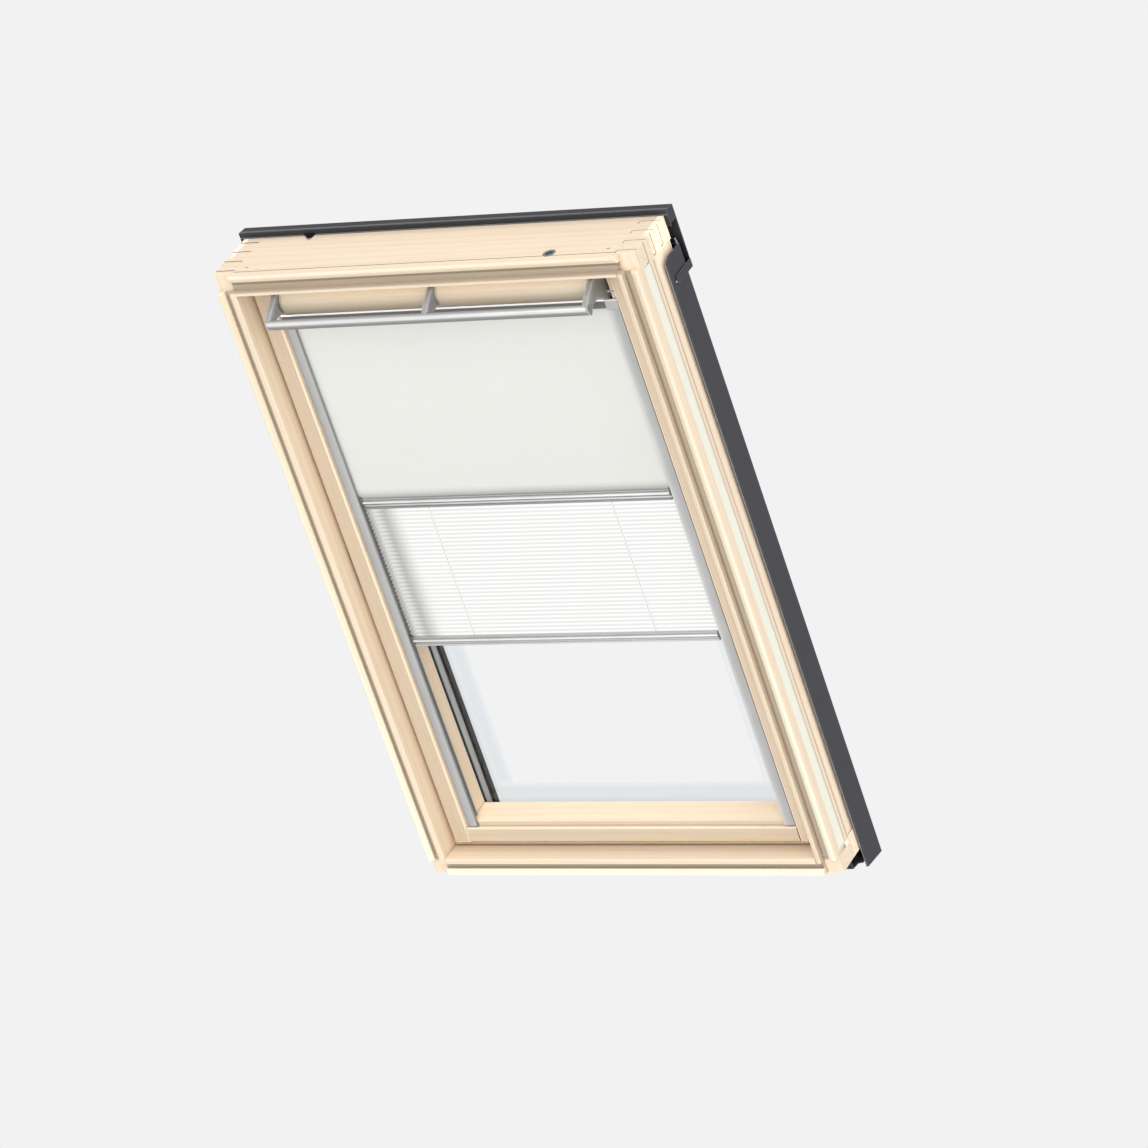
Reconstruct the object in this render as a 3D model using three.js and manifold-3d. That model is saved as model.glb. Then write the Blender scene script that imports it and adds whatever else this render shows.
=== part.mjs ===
// Centre pivot roof window in pine, with a two cloth blind fitted in its sash.
//
// Millimetres. X runs across the window, Z up along it, and Y from the room to the outside.
// Every outline below is written in two distances: how far in from the edge of the frame,
// and how deep behind the room face of the lips. The group at the end moves the model so
// that the origin lies in the middle of the frame's bottom face.

import * as THREE from 'three';
import { mergeVertices } from 'three/addons/utils/BufferGeometryUtils.js';
import Module from 'manifold-3d';

const wasm = await Module();
wasm.setup();

// Overall sizes
const frameWidth = 780;
const frameHeight = 1178;
const frameBehindSash = 12;
const originDepth = 30;

// Gaps and overruns that every piece shares
const fit = 0.3;
const overrun = 6;
const sheet = 1.5;
const roundSteps = 3;
const wireSides = 6;
const shaftSides = 20;

// Frame member section
const memberWidth = 36.6;
const lipWidth = 13.3;
const lipSlant = 7.3;
const lipRound = 4;
const grooveFloor = 12;
const grooveWidth = 14.4;
const blockFront = 0.35;
const blockSlant = 1.65;
const blockRound = 2.5;
const lineDepth = 18.9;
const lineHalf = 0.5;

// Comb joint at the corners: where each finger starts, from the room side, in shares of the depth
const cornerFront = 15;
const combShares = [0.1944, 0.3651, 0.4286, 0.5794, 0.6683, 0.7976, 0.8944];
const lipStop = 30;
const lipChamfer = 4;
const lipChamferDepth = 6;

// Slot and strip in the outer side, and the hollow behind it
const stripFront = 26;
const stripWidth = 19.5;
const stripThick = 2;
const stripLow = 41;
const stripHigh = 37.2;
const coveStart = 57;
const coveEnd = 90;
const coveHollow = 3;

// Outer covers of the frame
const coverOut = 7;
const coverFront = 80;
const coverHem = 4;
const coverProud = 7;
const coverLap = 4.4;
const coverLegIn = 30;
const coverTop = 53.5;
const coverTopCut = 8;
const coverCutFront = 93;
const coverBottomBack = 40;
const coverBottomFront = 34;

// Hood over the top end
const hoodStandoff = 0.4;
const hoodDeep = 21.6;
const hoodRise = 10.8;
const hoodFall = 2.5;
const hoodLap = 20;
const hoodBackLow = 106;
const hoodOverhang = 8;
const hoodEndLow = 15;
const strapProud = 0.6;
const strapThick = 1.2;
const strapHigh = 90;
const strapLow = 105;
const strapFront = 93;

// Bottom cover of the frame
const gutterFront = 42;
const gutterFrontFall = 12;
const gutterStep = 62;
const gutterStepFall = 15;
const gutterFold = 77;
const gutterFoldFall = 24;
const gutterBack = 94;
const gutterFall = 22;
const gutterFlange = 22;
const gutterOverhang = 2.5;

// Clip and plug of the frame
const clipIn = 116;
const clipWidth = 19;
const clipTipShift = 15;
const clipLong = 15;
const clipThick = 1.2;
const clipRise = 4;
const plugIn = 159.3;
const plugDepth = 27;
const plugRadius = 11;
const plugDeep = 12;
const plugDish = 3;
const plugDishRadius = 7;

// Sash section
const sashGap = 7.4;
const sashBottomStep = 3;
const sashFront = 37.1;
const sashStepIn = 74.2;
const ledgeStep = 6.9;
const ledgeIn = 84.5;
const seatIn = 97.2;
const seatLip = 3.2;
const rebateIn = 80;
const rebateDeep = 32.2;
const sashRound = 2;
const sashJointIn = 75;
const topRailSet = 14.9;
const topRailIn = 76;
const topSeatGap = 0.6;

// Glazing. Its lower edge is let further down, out of sight behind the bottom rail
const glassPlay = 2;
const glassDrop = 26;
const glassThick = 4;
const gasketThick = 3.6;
const gasketInnerDrop = 4.2;
const spacerThick = 16;
const spacerInset = 4;
const spacerWide = 11.5;
const spacerInnerDrop = 21.5;

// Seal round the sash
const sealBeforeBack = 26;
const sealThick = 4;
const sealGap = 1.4;
const sealSideGap = 0.7;
const sealBreak = 44;

// Outer covers of the sash
const sashCoverInset = 1.2;
const sashCoverInner = 101;
const sashCoverProud = 7;
const sashBottomCoverLow = 10;
const sashBottomCoverProud = 19;
const sashBottomRib = 3;
const sashBottomCoverGrip = 7;

// Pivot of the sash
const pivotBeforeBack = 48;
const pivotPinRadius = 7;
const pivotPlay = 0.5;
const pivotBossRadius = 12;
const pivotPlateHigh = 70;
const pivotPlateWide = 40;
const pivotPlateThick = 1.5;
const pivotBoss = 3;

// Lock in the top rail and its striker
const lockHalfWidth = 40;
const lockBeforeBack = 42;
const lockWide = 20;
const lockDeep = 24;
const tongueHalfWidth = 11.5;
const tongueWide = 7;
const tongueGap = 3.6;
const tongueLong = 17;
const tonguePlay = 0.5;
const lockTravel = 6;
const strikerHalfWidth = 30;
const strikerWide = 15;
const strikerThick = 1.2;

// Barrel bolt in the right stile
const boltHigh = 150;
const boltBeforeBack = 54;
const boltRadius = 3.5;
const boltPlay = 0.3;
const boltTubeRadius = 6;
const boltTubeLong = 28;
const boltLong = 24;
const bushRadius = 7;
const bushDeep = 14;

// Ventilation flap and its pivot
const flapAxisSet = 8.9;
const flapAxisIn = 84;
const flapTopGap = 4.4;
const flapTopReach = 19;
const flapCreaseIn = 50;
const flapCreaseReach = 24;
const flapCrownIn = 65;
const flapCrownReach = 31.2;
const flapTurnIn = 82;
const flapTurnReach = 26;
const flapBottomIn = 87;
const flapBottomReach = 21;
const flapSteps = 8;
const flapPinRadius = 2.5;
const flapPinStart = 2;
const flapPinLong = 35;

// Brackets of the handle bar. Their outline is in shares of the bracket's depth and height,
// with the radius of each corner as a share of the height
const bracketIn = 101;
const bracketThick = 10;
const middleBracketHalf = 4.8;
const bracketTopGap = 8.4;
const bracketBottom = 94;
const bracketDeep = 71;
const bracketBehind = 4;
const bracketShares = [
  [0, 0.5102, 0], [0.1831, 0.3061, 0.2449], [0.4085, 0.1429, 0.3265],
  [0.5211, 0.0408, 0.1224], [0.662, 0, 0.0612], [0.831, 0, 0.0612],
  [1, 0.4694, 0.0612], [1, 0.8776, 0.0816], [0.9155, 1, 0.0408],
  [0.493, 0.702, 0.2041], [0.2465, 0.6816, 0.1837], [0.0634, 0.9388, 0.0408],
  [0, 0.8776, 0.0204],
];

// Handle bar section, in shares of its depth and height
const barTop = 69.5;
const barTall = 19.5;
const barProud = 5;
const barDeep = 13.5;
const barCap = 2.5;
const barShares = [
  [0.4074, 0, 0.1538], [0, 0.2103, 0.1538], [0.0741, 0.5897, 0.2564],
  [0.4444, 1, 0.1026], [0.8519, 0.9487, 0.1026], [1, 0.2308, 0.1026],
];

// Blind casing
const casingSet = 4.9;
const casingDeep = 36;
const casingLip = 97;
const casingNeckDeep = 10;
const casingNeckIn = 96;
const casingShoulderDeep = 14;
const casingTop = 80;
const casingTopBack = 78;
const casingBottom = 113;
const casingEndIn = 100.5;
const casingWall = 1.4;
const slotHalf = 0.9;
const capThick = 2.7;
const capFlangeBottom = 115;

// Side rails of the blind
const railProud = 0.5;
const railLeg = 2.2;
const railIn = 96.8;
const railWide = 19.3;
const railSlotDeep = 7.9;
const railWebThick = 1.5;
const railGrooveDeep = 8.5;
const railBackLeg = 1.5;
const railLow = 76;
const railBackLow = 92;

// Roller
const rollerBeforeBack = 13.6;
const rollerIn = 96;
const tubeRadius = 7;
const clothRollRadius = 10.2;
const rollerPinRadius = 3;
const clothRollGap = 4.5;

// Cloths and bars
const clothSet = 4.5;
const clothThick = 0.6;
const clothEdgeGap = 4.1;
const clothNeckGap = 2.5;
const clothHidden = 9;
const barEndGap = 5.5;
const middleBarHigh = 722;
const middleBarTall = 18.5;
const lowerBarHigh = 448;
const lowerBarTall = 16;
const beadRadius = 3;
const barLipSet = 2.4;
const barLipTall = 1.8;
const barRecess = 2.3;
const barRecessTall = 1.6;
const barFrontLipTall = 4;
const barBevel = 1.6;
const glideTall = 14;

// Pleated cloth
const pleatCount = 28;
const pleatSet = 4.5;
const pleatDeep = 14;
const pleatWall = 3;
const pleatEdgeGap = 1.5;
const pleatEndGap = 1;
const pleatCordIn = 218;
const pleatCordSet = 5;
const pleatCordRadius = 0.45;
const pleatHoleHalf = 1;

// Widths and heights that follow from the sizes above
const halfWidth = frameWidth / 2;
const frameInner = halfWidth - memberWidth;
const sashIn = memberWidth + sashGap;
const sashBottomIn = sashIn + sashBottomStep;
const sashOuter = halfWidth - sashIn;
const coverIn = memberWidth + coverLap;
const sashCoverIn = sashIn + sashCoverInset;
const sashBottomRibIn = sashBottomIn + sashBottomRib;
const glassIn = rebateIn + glassPlay;
const glassLow = glassIn - glassDrop;
const rebateLow = rebateIn - glassDrop;
const sashBottomCoverInner = glassLow + sashBottomCoverGrip;
const tongueTop = memberWidth + tongueGap;
const flapTop = memberWidth + flapTopGap;
const bracketTop = memberWidth + bracketTopGap;
const bracketTall = bracketBottom - bracketTop;
const pivotHigh = frameHeight / 2;
const hoodHalfWidth = halfWidth + hoodOverhang;
const strapOut = hoodHalfWidth + strapProud;
const gutterHalfWidth = halfWidth + gutterOverhang;
const clipLeft = halfWidth - clipIn;
const clipRight = clipLeft - clipWidth;
const clipTipX = clipLeft - clipTipShift;
const plugX = halfWidth - plugIn;
const bracketInner = halfWidth - bracketIn;
const bracketOuter = bracketInner + bracketThick;
const barEnd = bracketOuter - barCap;
const flapPinInner = bracketInner + flapPinStart;
const flapPinOuter = flapPinInner + flapPinLong;
const casingHalfLength = halfWidth - casingEndIn;
const railInner = halfWidth - railIn;
const railOuter = railInner + railWide;
const railWebInner = railInner + railSlotDeep;
const clothRollHalf = casingHalfLength - clothRollGap;
const clothHalf = railWebInner - clothEdgeGap;
const clothNeckHalf = casingHalfLength - clothNeckGap;
const barHalf = railInner - barEndGap;
const glideInner = barHalf + fit;
const glideOuter = railWebInner - fit;
const pleatHalf = railInner - pleatEdgeGap;
const pleatCordX = halfWidth - pleatCordIn;

// Depths that follow from the sizes above
const ledgeDepth = sashFront + ledgeStep;
const topRailFront = sashFront + topRailSet;
const casingFront = sashFront + casingSet;
const casingNeck = casingFront + casingNeckDeep;
const casingShoulder = casingFront + casingShoulderDeep;
const casingBack = casingFront + casingDeep;
const rollerDepth = casingBack - rollerBeforeBack;
const topSeatFront = casingBack + topSeatGap;
const seatDepth = topSeatFront + seatLip;
const sashBack = seatDepth + rebateDeep;
const frameDepth = sashBack + frameBehindSash;
const coverBack = frameDepth + coverProud;
const hoodFront = frameDepth + hoodStandoff;
const hoodBack = hoodFront + hoodDeep;
const sashCoverBack = sashBack + sashCoverProud;
const sashBottomCoverBack = sashBack + sashBottomCoverProud;
const sealDepth = sashBack - sealBeforeBack;
const pivotDepth = sashBack - pivotBeforeBack;
const lockFront = sashBack - lockBeforeBack;
const boltDepth = sashBack - boltBeforeBack;
const flapAxisDepth = sashFront + flapAxisSet;
const bracketReach = bracketDeep - bracketBehind;
const barReach = bracketReach + barProud;
const flapBottomDepth = flapAxisDepth - flapBottomReach;
const railFront = casingFront - railProud;
const railBackFront = railFront + railGrooveDeep;
const clothDepth = casingFront + clothSet;
const barBack = railBackFront;
const beadFront = railFront + fit;
const barLipFront = beadFront + barLipSet;
const glideFront = railFront + railLeg + fit;
const glideBack = railBackFront - fit;
const pleatFront = railFront + pleatSet;
const pleatBack = pleatFront + pleatDeep;
const pleatCordDepth = pleatFront + pleatCordSet;

// Finishes
const finish = (color, roughness, metalness = 0) =>
  new THREE.MeshStandardMaterial({ color, roughness, metalness });
const pine = finish(0xf6dfc4, 0.55);
const foam = finish(0xeceee0, 0.8);
const darkMetal = finish(0x55545a, 0.45, 0.3);
const silver = finish(0xbfc0c4, 0.35, 0.7);
const bracketGrey = finish(0x7c7b77, 0.45, 0.2);
const steel = finish(0xb5b6b8, 0.35, 0.8);
const zinc = finish(0x6f6e6a, 0.5, 0.5);
const glass = finish(0xeaedf0, 0.05);
const blackRubber = finish(0x2c2c2e, 0.8);
const spacerGrey = finish(0xa5a5a5, 0.4, 0.6);
const blackoutWhite = finish(0xe9ebe5, 0.85);
const pleatWhite = finish(0xf7f7f7, 0.85);
const greyPlastic = finish(0xb4b5b8, 0.5);

// Solids

// Turns a closed geometry into a solid that can be joined and cut.
function solidOf(geometry) {
  geometry.deleteAttribute('normal');
  geometry.deleteAttribute('uv');
  const merged = mergeVertices(geometry);
  return new wasm.Manifold(new wasm.Mesh({
    numProp: 3,
    vertProperties: merged.attributes.position.array,
    triVerts: Uint32Array.from(merged.index.array),
  }));
}

// Gives a solid back as a geometry.
function geometryOf(solid) {
  const { vertProperties, triVerts } = solid.getMesh();
  const geometry = new THREE.BufferGeometry();
  geometry.setAttribute('position', new THREE.BufferAttribute(vertProperties, 3));
  geometry.setIndex(new THREE.BufferAttribute(triVerts, 1));
  geometry.computeVertexNormals();
  return geometry;
}

const joined = (first, ...others) => others.reduce((whole, solid) => whole.add(solid), first);
const cut = (first, ...others) => others.reduce((whole, solid) => whole.subtract(solid), first);

// Rounds the corners of an outline: each point may carry a radius.
function rounded(points) {
  const result = [];
  points.forEach(([u, v, radius = 0], index) => {
    const corner = new THREE.Vector2(u, v);
    if (radius === 0) {
      result.push(corner);
      return;
    }
    const before = points[(index + points.length - 1) % points.length];
    const after = points[(index + 1) % points.length];
    const toBefore = new THREE.Vector2(before[0] - u, before[1] - v).normalize();
    const toAfter = new THREE.Vector2(after[0] - u, after[1] - v).normalize();
    const half = Math.acos(toBefore.dot(toAfter)) / 2;
    const reach = radius / Math.tan(half);
    const start = corner.clone().addScaledVector(toBefore, reach);
    const end = corner.clone().addScaledVector(toAfter, reach);
    const middle = toBefore.clone().add(toAfter).normalize();
    const centre = corner.clone().addScaledVector(middle, radius / Math.sin(half));
    const first = start.clone().sub(centre).angle();
    let turn = end.clone().sub(centre).angle() - first;
    turn -= Math.PI * 2 * Math.round(turn / (Math.PI * 2));
    for (let step = 0; step <= roundSteps; step += 1) {
      const angle = first + turn * step / roundSteps;
      result.push(new THREE.Vector2(Math.cos(angle), Math.sin(angle)).multiplyScalar(radius).add(centre));
    }
  });
  return result;
}

// Moves each side of an outline outward by a gap, or inward by a negative one.
function grown(points, gap) {
  const outward = THREE.ShapeUtils.isClockWise(points) ? -gap : gap;
  return points.map((point, index) => {
    const before = points[(index + points.length - 1) % points.length];
    const after = points[(index + 1) % points.length];
    const into = point.clone().sub(before).normalize();
    const away = after.clone().sub(point).normalize();
    const normalIn = new THREE.Vector2(into.y, -into.x);
    const normalOut = new THREE.Vector2(away.y, -away.x);
    const middle = normalIn.clone().add(normalOut).normalize();
    return point.clone().addScaledVector(middle, outward / middle.dot(normalIn));
  });
}

// Points of a bowed line through three places.
function bow(start, middle, end, steps) {
  const [from, through, to] = [start, middle, end].map(([u, v]) => new THREE.Vector2(u, v));
  const control = through.clone().multiplyScalar(2).sub(from.clone().add(to).multiplyScalar(1 / 2));
  const curve = new THREE.QuadraticBezierCurve(from, control, to);
  return curve.getPoints(steps).map((point) => [point.x, point.y]);
}

// Where an outline's own two directions and its length point, for a run along each axis.
const alongAxis = {
  x: [new THREE.Vector3(0, 1, 0), new THREE.Vector3(0, 0, 1), new THREE.Vector3(1, 0, 0)],
  y: [new THREE.Vector3(0, 0, 1), new THREE.Vector3(1, 0, 0), new THREE.Vector3(0, 1, 0)],
  z: [new THREE.Vector3(1, 0, 0), new THREE.Vector3(0, 1, 0), new THREE.Vector3(0, 0, 1)],
};

// Runs an outline of (y, z), (z, x) or (x, y) points along x, y or z.
function run(points, axis, from, to) {
  const low = Math.min(from, to);
  const shape = new THREE.Shape(points);
  const geometry = new THREE.ExtrudeGeometry(shape, { depth: Math.abs(to - from), bevelEnabled: false });
  geometry.translate(0, 0, low);
  geometry.applyMatrix4(new THREE.Matrix4().makeBasis(...alongAxis[axis]));
  return solidOf(geometry);
}

// A box between two corners.
function block([x0, x1], [y0, y1], [z0, z1]) {
  const geometry = new THREE.BoxGeometry(Math.abs(x1 - x0), Math.abs(y1 - y0), Math.abs(z1 - z0));
  geometry.translate((x0 + x1) / 2, (y0 + y1) / 2, (z0 + z1) / 2);
  return solidOf(geometry);
}

// A round bar along an axis, about a centre given in the outline's own order.
function rod(axis, [u, v], radius, from, to, sides = shaftSides) {
  const points = [];
  for (let side = 0; side < sides; side += 1) {
    const angle = Math.PI * 2 * (side + 1 / 2) / sides;
    points.push(new THREE.Vector2(u + radius * Math.cos(angle), v + radius * Math.sin(angle)));
  }
  return run(points, axis, from, to);
}

// Heights measured down from the top of the frame.
const fromTop = (distance) => frameHeight - distance;
const fromTopPoints = (points) => points.map(([depth, down, radius]) => [depth, fromTop(down), radius]);

// The window gathers every piece under its own name.
const windowGroup = new THREE.Group();

function piece(name, solid, material) {
  const mesh = new THREE.Mesh(geometryOf(solid), material);
  mesh.name = name;
  windowGroup.add(mesh);
}

// Frame

// Section of a frame member, as distance in and depth.
function memberSection(withLine) {
  const grooveEnd = lipWidth + grooveWidth;
  const line = withLine
    ? [[0, lineDepth + lineHalf], [lineHalf * 2, lineDepth], [0, lineDepth - lineHalf]]
    : [];
  return [
    [0, 0, lipRound],
    [lipWidth, lipSlant],
    [lipWidth, grooveFloor],
    [grooveEnd, grooveFloor],
    [grooveEnd, blockFront],
    [memberWidth, blockFront + blockSlant, blockRound],
    [memberWidth, frameDepth],
    [0, frameDepth],
    ...line,
  ];
}

// The depths that the side's fingers take, and those that the cross member's fingers take.
const combDepths = combShares.map((share) => share * frameDepth);
const combEdges = [cornerFront, ...combDepths, frameDepth + overrun];
const combBands = combEdges.slice(1).map((edge, index) => [combEdges[index], edge]);
const sideBands = combBands.filter((band, index) => index % 2 === 0);
const crossBands = combBands.filter((band, index) => index % 2 === 1);

// Outline of the place where a lip ends, short of the corner, as place along and depth.
const lipEnd = (place) => [
  [place(lipStop + lipChamfer), -overrun],
  [place(lipStop + lipChamfer), 0],
  [place(lipStop), lipChamferDepth],
  [place(lipStop), cornerFront],
  [place(-overrun), cornerFront],
  [place(-overrun), -overrun],
];

function frameSide(side) {
  const across = (distance) => side * (halfWidth - distance);
  const outline = rounded(memberSection(false).map(([a, d, r]) => [across(a), d, r]));
  let solid = run(outline, 'z', 0, frameHeight);
  const wholeWidth = [across(-overrun), across(memberWidth + overrun)];
  const toGroove = [across(-overrun), across(lipWidth + grooveWidth)];
  for (const place of [(distance) => distance, fromTop]) {
    const lips = lipEnd(place).map(([z, d]) => new THREE.Vector2(d, z));
    const corner = [place(-overrun), place(memberWidth + fit)];
    const blockEnd = [place(-overrun), place(lipWidth + grooveWidth + fit)];
    solid = cut(
      solid,
      run(lips, 'x', ...toGroove),
      block(wholeWidth, [-overrun, cornerFront], blockEnd),
      ...crossBands.map(([low, high]) => block(wholeWidth, [low - fit / 2, high + fit / 2], corner)),
    );
  }
  const slot = block(
    [across(-overrun), across(stripThick)],
    [stripFront - fit, stripFront + stripWidth + fit],
    [stripLow - fit, fromTop(stripHigh - fit)],
  );
  const hollow = bow(
    [0, coveStart],
    [coveHollow * 2 / 3, (coveStart + coveEnd) / 2],
    [coveHollow, coveEnd],
    roundSteps * 2,
  );
  const cove = [
    ...hollow,
    [coveHollow, frameDepth + overrun],
    [-overrun, frameDepth + overrun],
    [-overrun, coveStart],
  ].map(([a, d]) => new THREE.Vector2(across(a), d));
  solid = cut(solid, slot, run(cove, 'z', stripLow, fromTop(stripLow)));
  return solid;
}

function frameCross(place, withLine) {
  const outline = rounded(memberSection(withLine).map(([a, d, r]) => [d, place(a), r]));
  let solid = run(outline, 'x', -halfWidth, halfWidth);
  const wholeWidth = [place(-overrun), place(memberWidth + overrun)];
  const toGroove = [place(-overrun), place(lipWidth + grooveWidth - fit)];
  const fromGroove = [place(lipWidth + grooveWidth - fit * 2), place(memberWidth + overrun)];
  for (const side of [-1, 1]) {
    const across = (distance) => side * (halfWidth - distance);
    const lips = lipEnd(across).map(([x, d]) => [x, Math.min(d, cornerFront - fit)]);
    const corner = [across(-overrun), across(memberWidth + fit)];
    solid = cut(
      solid,
      run(lips.map(([x, d]) => new THREE.Vector2(x, d)), 'z', ...toGroove),
      block(corner, [-overrun, cornerFront], fromGroove),
      block(corner, [cornerFront - fit, sideBands[0][1] + fit / 2], wholeWidth),
      ...sideBands.slice(1).map(([low, high]) => (
        block(corner, [low - fit / 2, high + fit / 2], wholeWidth)
      )),
    );
  }
  return solid;
}

const plugCentre = [plugX, plugDepth];
const plugHole = rod('z', plugCentre, plugRadius + fit, fromTop(plugDeep + fit), fromTop(-overrun));

const coverPlateFront = coverBack - sheet;
const hoodWallBack = hoodFront + sheet;
const gutterFlangeBack = frameDepth + fit + sheet;
const boltCentre = [boltDepth, boltHigh];
const bushHole = rod('x', boltCentre, bushRadius + fit, frameInner - overrun, frameInner + bushDeep);

piece('frame_side_left', frameSide(-1), pine);
piece('frame_side_right', cut(frameSide(1), bushHole), pine);
piece('frame_top', cut(frameCross(fromTop, true), plugHole), pine);
piece('frame_bottom', frameCross((distance) => distance, false), pine);

for (const [name, side] of [['left', -1], ['right', 1]]) {
  const across = (distance) => side * (halfWidth - distance);
  piece(`insulation_strip_${name}`, block(
    [across(0), across(stripThick - fit)],
    [stripFront, stripFront + stripWidth],
    [stripLow, fromTop(stripHigh)],
  ), foam);

  const coverSection = [
    [-coverOut, coverFront],
    [-coverOut + coverHem, coverFront],
    [-coverOut + coverHem, coverFront + sheet],
    [-coverOut + sheet, coverFront + sheet],
    [-coverOut + sheet, coverPlateFront],
    [coverLegIn, coverPlateFront],
    [coverLegIn, frameDepth + fit],
    [coverLegIn + sheet, frameDepth + fit],
    [coverLegIn + sheet, coverPlateFront],
    [coverIn, coverPlateFront],
    [coverIn, coverBack],
    [-coverOut, coverBack],
  ].map(([a, d]) => new THREE.Vector2(across(a), d));
  const wide = [across(-coverOut - overrun), across(coverIn + overrun)];
  const topCut = [
    [coverCutFront, fromTop(coverTop)],
    [coverFront, fromTop(coverTop + coverTopCut)],
    [coverFront - overrun, fromTop(coverTop + coverTopCut)],
    [coverFront - overrun, fromTop(coverTop - overrun)],
    [coverCutFront, fromTop(coverTop - overrun)],
  ].map(([d, z]) => new THREE.Vector2(d, z));
  const bottomCut = [
    [coverFront - overrun, -coverBottomFront],
    [coverFront, -coverBottomFront],
    [coverBack, -coverBottomBack],
    [coverBack, -coverBottomBack - overrun],
    [coverFront - overrun, -coverBottomBack - overrun],
  ].map(([d, z]) => new THREE.Vector2(d, z));
  piece(`frame_cover_${name}`, cut(
    run(coverSection, 'z', -coverBottomBack, fromTop(coverTop)),
    run(topCut, 'x', ...wide),
    run(bottomCut, 'x', ...wide),
    block(
      [across(coverHem), across(coverIn)],
      [frameDepth, coverPlateFront],
      [-coverBottomBack - overrun, gutterFlange + fit],
    ),
  ), darkMetal);
}

// Hood: one folded sheet with closed ends and a strap at each side
const hoodTop = frameHeight + hoodRise;
const hoodBackTop = hoodTop - hoodFall;
const hoodSection = [
  [hoodFront, fromTop(hoodLap)],
  [hoodFront, hoodTop],
  [hoodBack, hoodBackTop],
  [hoodBack, fromTop(hoodBackLow)],
  [hoodBack - sheet, fromTop(hoodBackLow)],
  [hoodBack - sheet, hoodBackTop - sheet],
  [hoodWallBack, hoodTop - sheet],
  [hoodWallBack, fromTop(hoodLap)],
].map(([d, z]) => new THREE.Vector2(d, z));
const hoodEnd = [
  [hoodFront, fromTop(hoodEndLow)],
  [hoodFront, hoodTop],
  [hoodBack, hoodBackTop],
  [hoodBack, fromTop(hoodEndLow)],
].map(([d, z]) => new THREE.Vector2(d, z));
piece('hood', joined(
  run(hoodSection, 'x', -hoodHalfWidth, hoodHalfWidth),
  ...[-1, 1].map((side) => run(hoodEnd, 'x', side * (hoodHalfWidth - sheet), side * hoodHalfWidth)),
  ...[-1, 1].map((side) => block(
    [side * (strapOut - strapThick), side * strapOut],
    [strapFront, hoodBack],
    [fromTop(strapLow), fromTop(strapHigh)],
  )),
), darkMetal);

// Bottom cover: a folded gutter under the bottom member
const gutterLine = [
  [gutterFront, -fit],
  [gutterFront, -gutterFrontFall],
  [gutterStep, -gutterStepFall],
  [gutterFold, -gutterFoldFall],
  [gutterBack, -gutterFall],
  [gutterFlangeBack, -gutterFall],
  [gutterFlangeBack, gutterFlange],
  [gutterFlangeBack - sheet, gutterFlange],
  [gutterFlangeBack - sheet, sheet - gutterFall],
  [gutterBack, sheet - gutterFall],
  [gutterFold, sheet - gutterFoldFall],
  [gutterStep, sheet - gutterStepFall],
  [gutterFront + sheet, sheet - gutterFrontFall],
  [gutterFront + sheet, -fit],
].map(([d, z]) => new THREE.Vector2(d, z));
piece('frame_bottom_cover', run(gutterLine, 'x', -gutterHalfWidth, gutterHalfWidth), darkMetal);

// Clip on the top face: a sheet with a pointed tip, turned up along its back edge
const clipBase = frameHeight + fit;
const clipPlate = [
  [-clipLeft, frameDepth],
  [-clipRight, frameDepth],
  [-clipTipX + clipThick, frameDepth - clipLong],
  [-clipTipX - clipThick, frameDepth - clipLong],
].map(([x, d]) => new THREE.Vector2(x, d));
piece('top_clip', joined(
  run(clipPlate, 'z', clipBase, clipBase + clipThick),
  block([-clipLeft, -clipRight], [frameDepth - clipThick, frameDepth], [clipBase, clipBase + clipRise]),
), zinc);

// Plug in the top face, with a dished head
piece('top_plug', cut(
  rod('z', plugCentre, plugRadius, fromTop(plugDeep), fromTop(fit)),
  rod('z', plugCentre, plugDishRadius, fromTop(plugDish), fromTop(-overrun)),
), zinc);

// Metal fittings on the frame: pivot plates, striker and the bush of the barrel bolt
const pivotCentre = [pivotDepth, pivotHigh];
const pivotPlateY = [pivotDepth - pivotPlateWide / 2, pivotDepth + pivotPlateWide / 2];
const pivotPlateZ = [pivotHigh - pivotPlateHigh / 2, pivotHigh + pivotPlateHigh / 2];
for (const [name, side] of [['left', -1], ['right', 1]]) {
  const plateOuter = side * (frameInner - fit);
  const plateInner = side * (frameInner - fit - pivotPlateThick);
  const bossInner = side * (frameInner - fit - pivotPlateThick - pivotBoss);
  const pinHole = [bossInner - side * overrun, plateOuter + side * overrun];
  piece(`pivot_plate_${name}`, cut(
    joined(
      block([plateInner, plateOuter], pivotPlateY, pivotPlateZ),
      rod('x', pivotCentre, pivotBossRadius, bossInner, plateOuter),
    ),
    rod('x', pivotCentre, pivotPinRadius + pivotPlay, ...pinHole),
  ), steel);
  const pinPlateInner = side * (sashOuter + fit);
  const pinPlateOuter = side * (sashOuter + fit + pivotPlateThick);
  piece(`pivot_pin_${name}`, joined(
    block([pinPlateInner, pinPlateOuter], pivotPlateY, pivotPlateZ),
    rod('x', pivotCentre, pivotPinRadius, pinPlateInner, side * (frameInner - pivotPlay)),
  ), steel);
}
piece('lock_striker', block(
  [-strikerHalfWidth, strikerHalfWidth],
  [lockFront, lockFront + strikerWide],
  [fromTop(memberWidth + fit + strikerThick), fromTop(memberWidth + fit)],
), steel);
piece('bolt_bush', cut(
  rod('x', boltCentre, bushRadius, frameInner, frameInner + bushDeep - fit),
  rod('x', boltCentre, boltRadius + boltPlay * 2, frameInner - overrun, frameInner + bushDeep + overrun),
), greyPlastic);

// Sash

const far = rebateIn + memberWidth;
const boltTubeInner = sashOuter - fit - boltTubeLong;
const boltTubeHole = rod('x', boltCentre, boltTubeRadius + fit, boltTubeInner - fit, sashOuter + overrun);
const flapAxis = [flapAxisDepth, fromTop(flapAxisIn)];
const flapPinHole = (side, inner) => (
  rod('x', flapAxis, flapPinRadius + fit, side * inner, side * (flapPinOuter + fit))
);

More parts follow.
